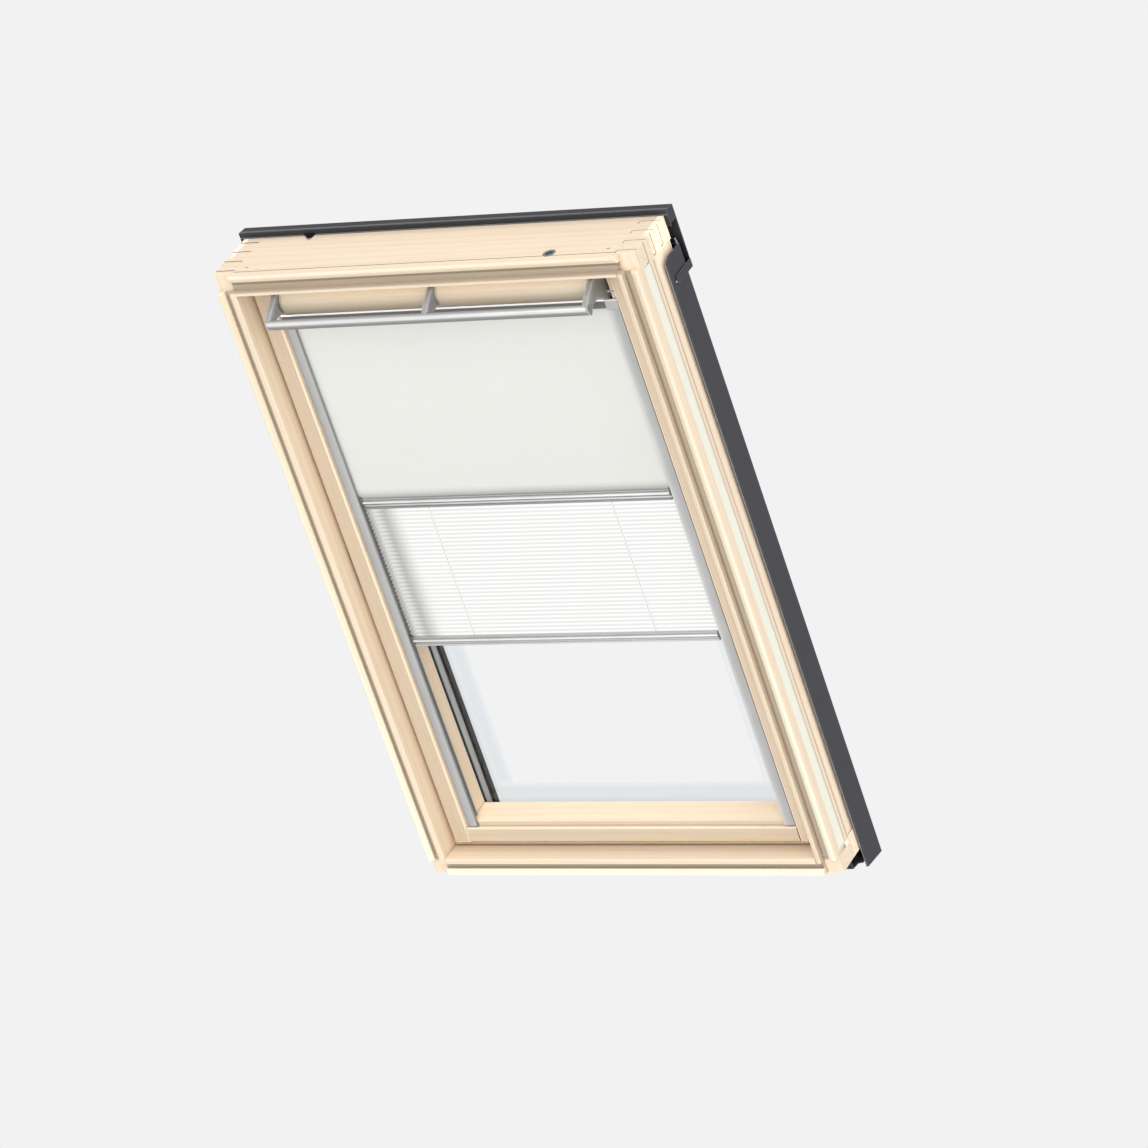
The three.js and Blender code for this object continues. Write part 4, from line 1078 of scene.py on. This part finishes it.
@dataclass
class Finishes:
    """Every material of the window, made once, to the sizes of the blind."""

    blind: "Blind"

    def __post_init__(self) -> None:
        """Builds the materials, group by group."""
        self.make_woods()
        self.make_covers()
        self.make_small_parts()
        self.make_bars()
        self.make_casing()
        self.make_rails()
        self.make_fittings()
        self.make_cloths()

    def make_woods(self) -> None:
        """Builds the pine of the frame, the sash and the flap."""
        pale, dark = paint(250, 230, 202), paint(242, 216, 186)
        across, upright = Grain.ACROSS, Grain.UPRIGHT
        self.frame_across = FramePine("frame_pine", across).material()
        self.frame_upright = FramePine("frame_pine", upright).material()
        # The sash pine is painted lighter on its top faces, and the two stiles are differently lit copies
        # with painted shade on their room faces and in their corners.
        sash = {"pale": pale, "dark": dark, "arris_open": 0.4, "reach": 4 * MM, "top_painted_light": 1.3}
        self.sash_across = Pine("sash_pine", across, **sash).material()
        self.sash_left = StilePine("sash_pine_left", upright, **sash, room_painted_light=0.74, gloom=0.35).material()
        self.sash_right = StilePine("sash_pine_right", upright, **sash, room_painted_light=0.84, gloom=0.5).material()
        self.flap = FlapPine("flap_pine", across, paint(255, 239, 213), paint(249, 226, 197)).material()

    def make_covers(self) -> None:
        """Builds the coats of the dark covers and the hood."""
        # hem is the colour of the painted highlight lines; the covers are painted darker on their room faces
        # and the hood on its top and room faces.
        grey, hem = paint(70, 69, 74), paint(140, 142, 149)
        plain = {"colour": grey, "gloss": 0.12, "room_painted_light": 0.68}
        self.cladding = Coated("dark_cladding", **plain).material()
        self.frame_cover = Coated(
            "frame_cladding", **plain, bright=hem,
            hems=(Hem(Axis.ACROSS, HALF_WIDE + 2.4 * MM, HALF_WIDE + 5.2 * MM, Axis.OUT),),
        ).material()
        hems = (
            Hem(Axis.UP, below_top(-0.6), below_top(-1.7), Axis.OUT),
            Hem(Axis.OUT, outward(128.4), outward(133), Axis.UP, 0.5),
        )
        self.hood = Coated(
            "hood_cladding", grey, gloss=0.12, room_painted_light=0.85, top_painted_light=0.68, bright=hem, hems=hems,
        ).material()

    def make_small_parts(self) -> None:
        """Builds the clip's, the plug's and the foam strips' materials."""
        # The clip and the plug carry painted highlights along their edges.
        self.clip = Coated(
            "clip_metal", paint(22, 22, 24), 0.4, 0.0, bright=paint(196, 202, 212), arris=2.4 * MM, lit=1.0,
            arris_open=0.1, rim_ends=114.6, reach=2 * MM,
        ).material()
        self.plug = Coated(
            "plug_metal", paint(120, 124, 124), 0.4, 0.2, bright=paint(190, 194, 198), lit=1.0, reach=6 * MM,
        ).material()
        self.foam = Moulded("pale_foam_strip", paint(247, 247, 232), 0.85, 1400.0, 0.1 * MM).material()

    def make_bars(self) -> None:
        """Builds the metal of the handle bar and of the blind's two bars, with their painted bands of shine
        and shade.
        """
        across = Grain.ACROSS
        self.grip = Drawn("grip_metal", across, Side.DOWN, below_top(69.5), below_top(89), (
            (0, 150), (0.12, 190), (0.2, 252), (0.4, 255), (0.5, 196), (0.6, 158), (0.72, 150), (1, 128),
        ), metallic=0.45).material()
        middle, lower = self.blind.bar_span("middle"), self.blind.bar_span("lower")
        self.middle_bar = Drawn("middle_bar_metal", across, Side.DOWN, *middle, (
            (0, 172), (0.05, 208), (0.12, 255), (0.19, 255), (0.22, 205), (0.28, 255), (0.38, 255),
            (0.42, 138), (0.62, 140), (0.67, 255), (0.78, 255), (0.82, 170), (0.9, 154), (1, 150),
        ), metallic=0.35, reach=1.6 * MM).material()
        self.lower_bar = Drawn("lower_bar_metal", across, Side.DOWN, *lower, (
            (0, 196), (0.08, 206), (0.13, 245), (0.19, 255), (0.22, 200), (0.27, 250), (0.36, 255),
            (0.4, 210), (0.44, 150), (0.6, 160), (0.66, 232), (0.8, 236), (0.95, 214), (1, 176),
        ), metallic=0.35, reach=1.6 * MM).material()

    def make_casing(self) -> None:
        """Builds the metal of the blind's casing, with a painted highlight along its top and painted shadow
        under the bar, and of its right cap, a lighter painted copy.
        """
        across = Grain.ACROSS
        span = below_top(self.blind.casing_high), below_top(self.blind.casing_low)
        self.casing = Drawn("casing_metal", across, Side.DOWN, *span, (
            (0, 330), (0.15, 330), (0.2, 150), (0.25, 112), (0.35, 106), (0.6, 108), (1, 122),
        ), metallic=0.15, reach=1.2 * MM).material()
        self.cap = Drawn("cap_metal", across, Side.DOWN, *span, (
            (0, 255), (0.12, 255), (0.18, 214), (1, 206),
        ), metallic=0.3, reach=4 * MM).material()

    def make_rails(self) -> None:
        """Builds the metal of the two side rails, whose painted bands of shine differ because the light
        meets them at different angles.
        """
        upright = Grain.UPRIGHT
        span = self.blind.rail_inner, self.blind.rail_outer
        self.rail_right = Drawn("rail_metal_right", upright, Side.OUT, *span, (
            (0, 246), (0.08, 232), (0.3, 214), (0.6, 202), (0.92, 200), (0.96, 184), (1, 178),
        ), metallic=0.5, reach=5 * MM).material()
        self.rail_left = Drawn("rail_metal_left", upright, Side.OUT, *span, (
            (0, 160), (0.06, 150), (0.12, 205), (0.3, 205), (0.6, 196), (0.8, 190), (0.9, 172), (1, 165),
        ), metallic=0.5, reach=5 * MM).material()

    def make_fittings(self) -> None:
        """Builds the materials of the brackets, the fittings, the seals and the glass."""
        upright = Grain.UPRIGHT
        # The bracket carries painted highlights along its edges and a lighter room face as painted light.
        self.bracket = Coated(
            "bracket_grey", paint(136, 138, 139), 0.38, 0.0, 0.8 * MM, 0.8 * MM, 0.4, paint(226, 226, 224),
            1.6 * MM, 0.7, paint(182, 183, 182),
        ).material()
        plain = ((0.0, 186), (1.0, 186))
        self.steel = Drawn("steel_fittings", upright, Side.DOWN, 0.0, FRAME_HIGH, plain, 0.3, 0.9).material()
        self.rubber = Moulded("black_rubber", paint(40, 40, 42), 0.7).material()
        bright = ((0.0, 236), (1.0, 236))
        self.spacer = Drawn("grey_spacer", upright, Side.DOWN, 0.0, FRAME_HIGH, bright, 0.45, 0.3).material()
        self.plastic = Moulded("grey_plastic", paint(112, 112, 114), 0.45).material()
        self.glass_inner = Pane("inner_pane").material()
        self.glass_outer = Pane("outer_pane", (0.912, 0.95, 0.977, 1.0)).material()

    def make_cloths(self) -> None:
        """Builds the two cloths and the cord."""
        # The blackout cloth carries a painted shadow of the middle bar near its foot; the pleats carry
        # painted shade at their ridges and beside the left rail, and a painted glow.
        self.blackout = Woven(
            "blackout_cloth", *self.blind.blackout_size(), paint(236, 237, 232), paint(231, 233, 227),
            foot=8 * MM,
        ).material()
        self.pleats = Woven(
            "pleated_cloth", *self.blind.pleat_size(), paint(174, 174, 173), paint(168, 168, 167), rough=0.9,
            reach=5 * MM, gloom=0.12, folds=self.blind.pleat_count * 2, crease_shade=0.23, glow=0.64, left=(
                (0, 0.58), (0.1, 0.62), (0.13, 0.82), (0.25, 0.83), (0.44, 0.6), (0.6, 0.76), (0.72, 0.88),
                (0.86, 0.98), (1, 1),
            ),
        ).material()
        self.cord = Woven(
            "lift_cord", 0.003, 0.26, paint(196, 196, 196), paint(170, 170, 170), 6000.0,
        ).material()


@dataclass
class Frame:
    """The outer pine frame with its strips, covers and metal fittings."""

    finishes: Finishes
    screw_out: float = 398.5 * MM
    screw_tall: float = 1.6 * MM
    screw_deep: float = 90.6
    screw_down: float = 99.5
    screw_radius: float = 1.6 * MM
    screw_rim_share: float = 0.45
    screw_wall: float = 0.05 * MM
    screw_recess: float = 0.35 * MM
    screw_arris: float = 0.3 * MM
    spring_inner: float = 394.5 * MM
    spring_outer: float = 396.8 * MM
    spring: tuple[Corner, ...] = (
        Corner(127.2, 42), Corner(128.6, 42, 0.4), Corner(130.4, 50, 6), Corner(129.6, 57, 6),
        Corner(132.2, 66, 0.4), Corner(130.8, 66), Corner(128.2, 57, 5), Corner(129, 50, 5),
    )

    def build(self) -> None:
        """Dresses the nodes of the frame."""
        made = self.finishes
        dress_nodes(made.frame_upright, *both("frame_side"))
        dress_nodes(made.frame_across, "frame_top", "frame_bottom")
        dress_nodes(made.foam, *both("insulation_strip"))
        dress_nodes(made.frame_cover, *both("frame_cover"))
        dress_nodes(made.steel, *both("pivot_plate"), "lock_striker")
        dress_nodes(made.hood, "hood")
        dress_nodes(made.cladding, "frame_bottom_cover")
        dress_nodes(made.clip, "top_clip")
        dress_nodes(made.plug, "top_plug")
        dress_nodes(made.plastic, "bolt_bush")
        for side, sign in ENDS:
            self.make_screw(side, sign)
            self.make_spring(side, sign)

    def make_screw(self, side: str, sign: int) -> None:
        """Makes the domed screw that holds the strap of the hood to the side cover.

        Args:
            side: The side's name.
            sign: Its direction along X.
        """
        Bench.clear()
        middle = sign * (self.screw_out - self.screw_tall / 2)
        place = (middle, outward(self.screw_deep), below_top(self.screw_down))
        bpy.ops.mesh.primitive_cylinder_add(
            vertices=24, radius=self.screw_radius, depth=self.screw_tall, location=place,
            rotation=(0.0, sign * math.pi / 2, 0.0),
        )
        screw = Bench.started(f"strap_screw_{side}")
        Bench.settle(screw)
        mesh = screw.data
        outer = max(mesh.polygons, key=lambda face: face.center.x * sign)
        rim = [mesh.edges[mesh.edge_keys.index(key)].index for key in outer.edge_keys]
        Bench.pick(screw, rim)
        bpy.ops.mesh.select_mode(type="FACE")
        bpy.ops.mesh.inset(thickness=self.screw_radius * self.screw_rim_share, depth=0.0)
        bpy.ops.mesh.inset(thickness=self.screw_wall, depth=-self.screw_recess)
        bpy.ops.object.mode_set(mode="OBJECT")
        Bench.pick(screw, rim)
        width = self.screw_arris
        bpy.ops.mesh.bevel(offset=width, segments=2, profile=0.5, affect="EDGES", clamp_overlap=True)
        bpy.ops.object.mode_set(mode="OBJECT")
        Bench.smooth(screw)
        finished(screw, "frame", "cladding", self.finishes.clip)

    def make_spring(self, side: str, sign: int) -> None:
        """Makes a leaf spring between the hood's end and the side cover, dressed bright as a painted glint
        in the dark gap there.

        Args:
            side: The side's name.
            sign: Its direction along X.
        """
        ends = sorted((sign * self.spring_inner, sign * self.spring_outer))
        spring = Bench.drawn(f"hood_spring_{side}", self.spring, *ends, 4, 0.2 * MM)
        finished(spring, "frame", "silver", self.finishes.plug)


@dataclass
class Sash:
    """The turning sash with its glass, seals, covers and locks."""

    finishes: Finishes

    def build(self) -> None:
        """Dresses the nodes of the sash."""
        made = self.finishes
        dress_nodes(made.sash_left, "sash_stile_left")
        dress_nodes(made.sash_right, "sash_stile_right")
        dress_nodes(made.sash_across, "sash_top_rail", "sash_bottom_rail")
        dress_nodes(made.cladding, *both("sash_cover"), "sash_cover_top", "sash_cover_bottom")
        dress_nodes(made.bracket, *both("flap_pin"))
        dress_nodes(made.rubber, "glazing_gasket", "sash_seal_lower", "sash_seal_upper")
        dress_nodes(made.steel, *both("pivot_pin"), "lock_case", "latch_tongue", "bolt_tube", "barrel_bolt")
        dress_nodes(made.spacer, "glazing_spacer")
        dress_nodes(made.glass_inner, "pane_inner")
        dress_nodes(made.glass_outer, "pane_outer")


@dataclass
class Flap:
    """The ventilation flap with the handle bar and its three brackets."""

    finishes: Finishes
    bar_half: float = 296.2 * MM
    bracket_inner: float = 289 * MM
    bracket_outer: float = 299 * MM
    cap_inner: float = 296.5 * MM
    middle_half: float = 4.8 * MM
    flap_half: float = 288.7 * MM
    flap_front: float = 27.0
    flap_foot: float = 25.0
    flap_back: float = 46.0
    flap_top: float = 41.0
    flap_low: float = 87.0
    face_start: tuple[float, float] = (22.0, 50.0)
    face_crown: tuple[float, float] = (14.8, 65.0)
    face_end: tuple[float, float] = (20.0, 82.0)
    steps: int = 18
    flap_arris: float = 0.4 * MM
    cap_arris: float = 0.4 * MM
    bar_arris: float = 0.3 * MM
    bracket_arris: float = 0.7 * MM
    bar: tuple[Corner, ...] = (
        Corner(-20.5, 69.5, 3), Corner(-26, 73.6, 3), Corner(-25, 81, 5),
        Corner(-20, 89, 2), Corner(-14.5, 88, 2), Corner(-12.5, 74, 2),
    )
    front: tuple[Corner, ...] = (
        Corner(14, 79.4, 10), Corner(-3.5, 78.4, 9), Corner(-16.5, 91, 2), Corner(-21, 88, 1),
        Corner(-21, 70), Corner(-8, 60, 12), Corner(8, 52, 16), Corner(16, 47, 6), Corner(26, 45, 3),
    )
    side_back: tuple[Corner, ...] = (
        Corner(38, 45, 3), Corner(52, 64, 3), Corner(55, 84, 3), Corner(53, 96, 3), Corner(45.6, 98, 2),
    )
    middle_back: tuple[Corner, ...] = (Corner(34, 45, 1), Corner(34, 81, 1))

    def face_line(self) -> list[Corner]:
        """Returns the curved face of the flap as corners."""
        start, crown, end = self.face_start, self.face_crown, self.face_end
        control = tuple(2 * crown[i] - (start[i] + end[i]) / 2 for i in (0, 1))
        line = []
        for step in range(self.steps + 1):
            share = step / self.steps
            weights = ((1 - share) ** 2, 2 * share * (1 - share), share ** 2)
            depth, down = (
                weights[0] * start[i] + weights[1] * control[i] + weights[2] * end[i] for i in (0, 1)
            )
            line.append(Corner(depth, down))
        return line

    def build(self) -> None:
        """Makes the flap, its brackets and the bar."""
        back, top, low = self.flap_back, self.flap_top, self.flap_low
        front, foot = Corner(self.flap_front, top, 1), Corner(self.flap_foot, low, 1)
        outline = [Corner(back, top), front, *self.face_line(), foot, Corner(back, low)]
        flap = Bench.drawn("flap_board", outline, -self.flap_half, self.flap_half, 3, self.flap_arris)
        finished(flap, "flap", "pine", self.finishes.flap, "vent_flap")
        bar = Bench.drawn("grip_bar", self.bar, -self.bar_half, self.bar_half, 8, self.bar_arris)
        finished(bar, "flap", "silver", self.finishes.grip, "handle_bar")
        for side, sign in ENDS:
            ends = sorted((sign * self.bracket_inner, sign * self.bracket_outer))
            outline = self.front + self.side_back
            arm = Bench.drawn(f"grip_bracket_{side}", outline, *ends, 6, self.bracket_arris)
            ends = sorted((sign * self.cap_inner, sign * self.bracket_outer))
            cap = Bench.drawn("bar_cap", self.bar, *ends, 8, self.cap_arris)
            arm = Bench.joined(arm, cap)
            finished(arm, "flap", "bracket_grey", self.finishes.bracket, f"flap_bracket_{side}")
        outline = self.front + self.middle_back
        ends = -self.middle_half, self.middle_half
        arm = Bench.drawn("grip_bracket_middle", outline, *ends, 6, self.bracket_arris)
        finished(arm, "flap", "bracket_grey", self.finishes.bracket, "flap_bracket_middle")


@dataclass
class Blind:
    """The blind: casing, rails, two bars, blackout cloth and pleated cloth."""

    finishes: Finishes | None = None
    bar_half: float = 287.7 * MM
    bar_back: float = 50.0
    cloth_depth: float = 46.5
    cloth_thick: float = 0.6 * MM
    cloth_half: float = 297 * MM
    neck_half: float = 287 * MM
    middle_high: float = 716.4
    middle_tall: float = 20.2
    middle_bead: float = 4.1
    lower_high: float = 445.7
    lower_tall: float = 17.9
    lower_bead: float = 3.7
    casing_high: float = 97.0
    casing_low: float = 113.0
    rail_inner: float = 293.2 * MM
    rail_outer: float = 312.5 * MM
    pleat_count: int = 34
    pleat_half: float = 291.5 * MM
    pleat_front: float = 46.4
    pleat_back: float = 59.0
    pleat_thick: float = 0.5 * MM
    cord_side: float = 172 * MM
    cord_depth: float = 51.0
    cord_radius: float = 0.45 * MM
    spare_share: float = 0.13 / 0.74
    neck_starts: float = 115.0
    blackout_rows: int = 40
    blackout_columns: int = 24
    pleat_columns: int = 12
    bar_front: float = 44.2
    bar_web: float = 46.5
    bead_front: float = 41.8
    bead_tall: float = 6.0
    bar_head: float = 1.8
    bar_foot: float = 3.6
    bar_toe: float = 1.6
    toe_front: float = 45.8
    bar_arris: float = 0.3 * MM
    blackout_tuck: float = 8.0
    casing_tuck: float = 9.0
    lower_tuck: float = 5.0
    middle_tuck: float = 3.0

    def bar_sizes(self, name: str) -> tuple[float, float, float]:
        """Returns how far below the top a bar starts and ends, and how far down its bead starts."""
        if name == "middle":
            high, tall, bead = self.middle_high, self.middle_tall, self.middle_bead
        else:
            high, tall, bead = self.lower_high, self.lower_tall, self.lower_bead
        middle = FRAME_HIGH / MM - high
        return middle - tall / 2, middle + tall / 2, bead

    def bar_span(self, name: str) -> tuple[float, float]:
        """Returns the heights of a bar's top and bottom, in metres."""
        top, low, _ = self.bar_sizes(name)
        return below_top(top), below_top(low)

    def bar_line(self, name: str) -> list[Corner]:
        """Returns the section of a bar as corners."""
        top, low, bead = self.bar_sizes(name)
        bead_top = top + bead
        bead_low = bead_top + self.bead_tall
        back, front, web, bead_front = self.bar_back, self.bar_front, self.bar_web, self.bead_front
        return [
            Corner(back, low, 0.5), Corner(back, top, 0.5), Corner(front, top, 0.6),
            Corner(front, top + self.bar_head, 0.3), Corner(web, top + self.bar_head),
            Corner(web, bead_top), Corner(bead_front, bead_top, 2.7),
            Corner(bead_front, bead_low, 2.7), Corner(web, bead_low), Corner(web, low - self.bar_foot),
            Corner(front, low - self.bar_foot, 0.4), Corner(front, low - self.bar_toe, 0.4),
            Corner(self.toe_front, low, 0.4),
        ]

    def sheet_of(
        self, name: str, line: Sequence[tuple[float, float]], half: float, columns: int,
    ) -> bpy.types.Object:
        """Makes a thin cloth along a line of depths and heights.

        Args:
            name: The piece's name.
            line: Depth in millimetres and height in metres, from the bottom up.
            half: Half its width.
            columns: How many faces it has across.

        Returns:
            The cloth, one face thick.
        """
        Bench.clear()
        bpy.ops.mesh.primitive_grid_add(x_subdivisions=columns, y_subdivisions=len(line) - 1, size=2.0)
        cloth = Bench.started(name)
        for vertex in cloth.data.vertices:
            row = round((vertex.co.y + 1) / 2 * (len(line) - 1))
            depth, high = line[row]
            vertex.co = Vector((vertex.co.x * half, outward(depth), high))
        return cloth

    def thicken(self, cloth: bpy.types.Object, thick: float) -> None:
        """Gives a cloth its thickness.

        Args:
            cloth: The cloth.
            thick: How thick it becomes.
        """
        Bench.take(cloth)
        wall = cloth.modifiers.new("wall", "SOLIDIFY")
        wall.thickness = thick
        wall.offset = 0.0
        bpy.ops.object.modifier_apply(modifier=wall.name)

    def hang(
        self,
        piece: bpy.types.Object,
        upper: str,
        lower: str,
        material: bpy.types.Material,
        node: str,
    ) -> None:
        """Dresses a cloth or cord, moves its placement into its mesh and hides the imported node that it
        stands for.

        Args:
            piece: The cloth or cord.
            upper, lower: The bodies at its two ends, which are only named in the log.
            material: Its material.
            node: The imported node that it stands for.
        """
        dress(piece, material)
        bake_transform(piece)
        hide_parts(node)
        log.info("made %s between %s and %s", piece.name, upper, lower)

    def blackout_ends(self) -> tuple[float, float]:
        """Returns the heights of the blackout cloth's two ends."""
        low = (self.middle_high + self.middle_tall / 2 - self.blackout_tuck) * MM
        return low, below_top(self.casing_low - self.casing_tuck)

    def blackout_size(self) -> tuple[float, float]:
        """Returns the width and length of the blackout cloth that is drawn out."""
        low, high = self.blackout_ends()
        return 2 * self.cloth_half, high - low

    def pleat_size(self) -> tuple[float, float]:
        """Returns the width and length that the pleated cloth has when it is laid flat."""
        low, high = self.pleat_ends()
        folds = self.pleat_count * 2
        slope = math.hypot((high - low) / folds, (self.pleat_back - self.pleat_front) * MM)
        return 2 * self.pleat_half, slope * folds

    def build(self, finishes: Finishes) -> None:
        """Makes and dresses the whole blind."""
        self.finishes = finishes
        self.dress_metal()
        self.make_bars()
        self.make_blackout()
        self.make_pleats()
        self.make_cords()

    def dress_metal(self) -> None:
        """Dresses the casing, its caps, the rails, the roller and the glides."""
        made = self.finishes
        dress_nodes(made.casing, "blind_casing", "casing_cap_left")
        dress_nodes(made.cap, "casing_cap_right")
        dress_nodes(made.steel, "roller_tube")
        dress_nodes(made.blackout, "cloth_roll")
        dress_nodes(made.rail_left, "side_rail_left")
        dress_nodes(made.rail_right, "side_rail_right")
        dress_nodes(made.plastic, *both("middle_bar_glide"), *both("lower_bar_glide"))

    def make_bars(self) -> None:
        """Makes the middle and the lower bar."""
        for name, body, metal in (
            ("middle", "blackout_bar", self.finishes.middle_bar),
            ("lower", "pleat_bar", self.finishes.lower_bar),
        ):
            ends = -self.bar_half, self.bar_half
            bar = Bench.drawn(f"{name}_rail", self.bar_line(name), *ends, 5, self.bar_arris)
            finished(bar, body, "silver", metal, f"{name}_bar")

    def make_blackout(self) -> None:
        """Makes the blackout cloth, which the middle bar draws out of the casing."""
        low, high = self.blackout_ends()
        rows = self.blackout_rows
        line = [(self.cloth_depth, low + (high - low) * row / rows) for row in range(rows + 1)]
        cloth = self.sheet_of("blackout_sheet", line, self.cloth_half, self.blackout_columns)
        neck = below_top(self.neck_starts)
        for vertex in cloth.data.vertices:
            if vertex.co.z > neck:
                vertex.co.x *= self.neck_half / self.cloth_half
        self.thicken(cloth, self.cloth_thick)
        self.hang(cloth, "sash", "blackout_bar", self.finishes.blackout, "blackout_cloth")

    def pleat_ends(self) -> tuple[float, float]:
        """Returns the heights of the pleated cloth's two ends."""
        low = (self.lower_high + self.lower_tall / 2 - self.lower_tuck) * MM
        high = (self.middle_high - self.middle_tall / 2 + self.middle_tuck) * MM
        return low, high

    def make_pleats(self) -> None:
        """Makes the pleated cloth between the two bars."""
        low, high = self.pleat_ends()
        folds = self.pleat_count * 2
        line = []
        for index in range(folds + 1):
            depth = self.pleat_back if index % 2 == 0 else self.pleat_front
            line.append((depth, low + (high - low) * index / folds))
        cloth = self.sheet_of("pleated_sheet", line, self.pleat_half, self.pleat_columns)
        self.thicken(cloth, self.pleat_thick)
        self.hang(cloth, "blackout_bar", "pleat_bar", self.finishes.pleats, "pleated_cloth")

    def make_cords(self) -> None:
        """Makes the two cords that guide the pleats."""
        low, high = self.pleat_ends()
        for side, sign in ENDS:
            Bench.clear()
            middle = (sign * self.cord_side, outward(self.cord_depth), (low + high) / 2)
            bpy.ops.mesh.primitive_cylinder_add(
                vertices=10, radius=self.cord_radius, depth=high - low, location=middle,
            )
            cord = Bench.started(f"lift_cord_{side}")
            Bench.settle(cord)
            bpy.ops.object.mode_set(mode="EDIT")
            bpy.ops.mesh.select_all(action="SELECT")
            bpy.ops.mesh.subdivide(number_cuts=3)
            bpy.ops.object.mode_set(mode="OBJECT")
            Bench.smooth(cord)
            name = f"pleat_cord_{side}"
            self.hang(cord, "blackout_bar", "pleat_bar", self.finishes.cord, name)


@dataclass
class Studio:
    """The camera, the lights, the background and the floor."""

    eye: Place = (5.5482, -7.8518, 5.5995)
    turn: Place = (2.0863576, 0.2844307, -0.5808866)
    lens: float = 209.99
    background: Colour = paint(242, 242, 242)
    sky: float = 0.6
    sun: float = 1.85
    sun_wide: float = 90.0
    sun_from: Place = (0.47, -0.56, 0.68)
    floor_low: float = -0.62

    def build(self) -> None:
        """Sets the scene round the window."""
        self.place_camera()
        self.light()
        self.lay_floor()
        bpy.context.scene.view_settings.view_transform = "Standard"

    def place_camera(self) -> None:
        """Puts the camera where the photograph was taken from."""
        axis = Vector(self.turn)
        seen = Matrix.Rotation(axis.length, 3, axis.normalized())
        turned = seen.transposed() @ Matrix(((1, 0, 0), (0, -1, 0), (0, 0, -1)))
        bpy.ops.object.camera_add()
        camera = bpy.context.object
        camera.name = "photograph_view"
        camera.matrix_world = Matrix.Translation(self.eye) @ turned.to_4x4()
        camera.data.lens = self.lens
        camera.data.sensor_width = 36.0
        camera.data.clip_end = 60.0
        bpy.context.scene.camera = camera

    def light(self) -> None:
        """Gives the window an even light and the metal and glass a pale background."""
        world = bpy.data.worlds.new("pale_room")
        bpy.context.scene.world = world
        world.use_nodes = True
        nodes, links = world.node_tree.nodes, world.node_tree.links
        nodes.clear()
        output = nodes.new("ShaderNodeOutputWorld")
        seen, lit = nodes.new("ShaderNodeBackground"), nodes.new("ShaderNodeBackground")
        seen.inputs[0].default_value = self.background
        lit.inputs[0].default_value = (1.0, 1.0, 1.0, 1.0)
        lit.inputs[1].default_value = self.sky
        rays = nodes.new("ShaderNodeLightPath")
        mix = nodes.new("ShaderNodeMixShader")
        total = rays.outputs["Is Camera Ray"]
        for name in ("Is Glossy Ray", "Is Transmission Ray"):
            larger = nodes.new("ShaderNodeMath")
            larger.operation = "MAXIMUM"
            links.new(total, larger.inputs[0])
            links.new(rays.outputs[name], larger.inputs[1])
            total = larger.outputs[0]
        links.new(total, mix.inputs[0])
        links.new(lit.outputs[0], mix.inputs[1])
        links.new(seen.outputs[0], mix.inputs[2])
        links.new(mix.outputs[0], output.inputs[0])
        bpy.ops.object.light_add(type="SUN")
        sun = bpy.context.object
        sun.name = "soft_sun"
        sun.data.energy = self.sun
        sun.data.angle = math.radians(self.sun_wide)
        sun.rotation_euler = Vector(self.sun_from).to_track_quat("Z", "Y").to_euler()

    def lay_floor(self) -> None:
        """Lays a pale floor that the camera sees as the background, with the window's shadow."""
        Bench.clear()
        bpy.ops.mesh.primitive_plane_add(size=60.0, location=(0.0, 0.0, self.floor_low))
        floor = Bench.started("pale_floor")
        Bench.settle(floor)
        recipe = Recipe("pale_floor")
        recipe.feed(recipe.shader, {"Base Color": self.background, "Roughness": 0.9})
        rays = recipe.node("ShaderNodeLightPath")
        plain = recipe.node("ShaderNodeEmission", None, {"Color": self.background, "Strength": 1.0})
        seen = Signal(recipe, rays.outputs["Is Camera Ray"])
        for name in ("Is Glossy Ray", "Is Transmission Ray"):
            seen = seen.larger(Signal(recipe, rays.outputs[name]))
        inputs = {0: seen, 1: recipe.shader.outputs[0], 2: plain.outputs[0]}
        mix = recipe.node("ShaderNodeMixShader", None, inputs)
        recipe.feed(recipe.output, {0: mix.outputs[0]})
        dress(floor, recipe.material)


def main() -> None:
    """Builds and dresses the window in order."""
    logging.basicConfig(level=logging.INFO, format="%(message)s")
    Studio().build()
    blind = Blind()
    finishes = Finishes(blind)
    Frame(finishes).build()
    Sash(finishes).build()
    Flap(finishes).build()
    blind.build(finishes)
    Bench.clear()


if __name__ == "__main__":
    main()
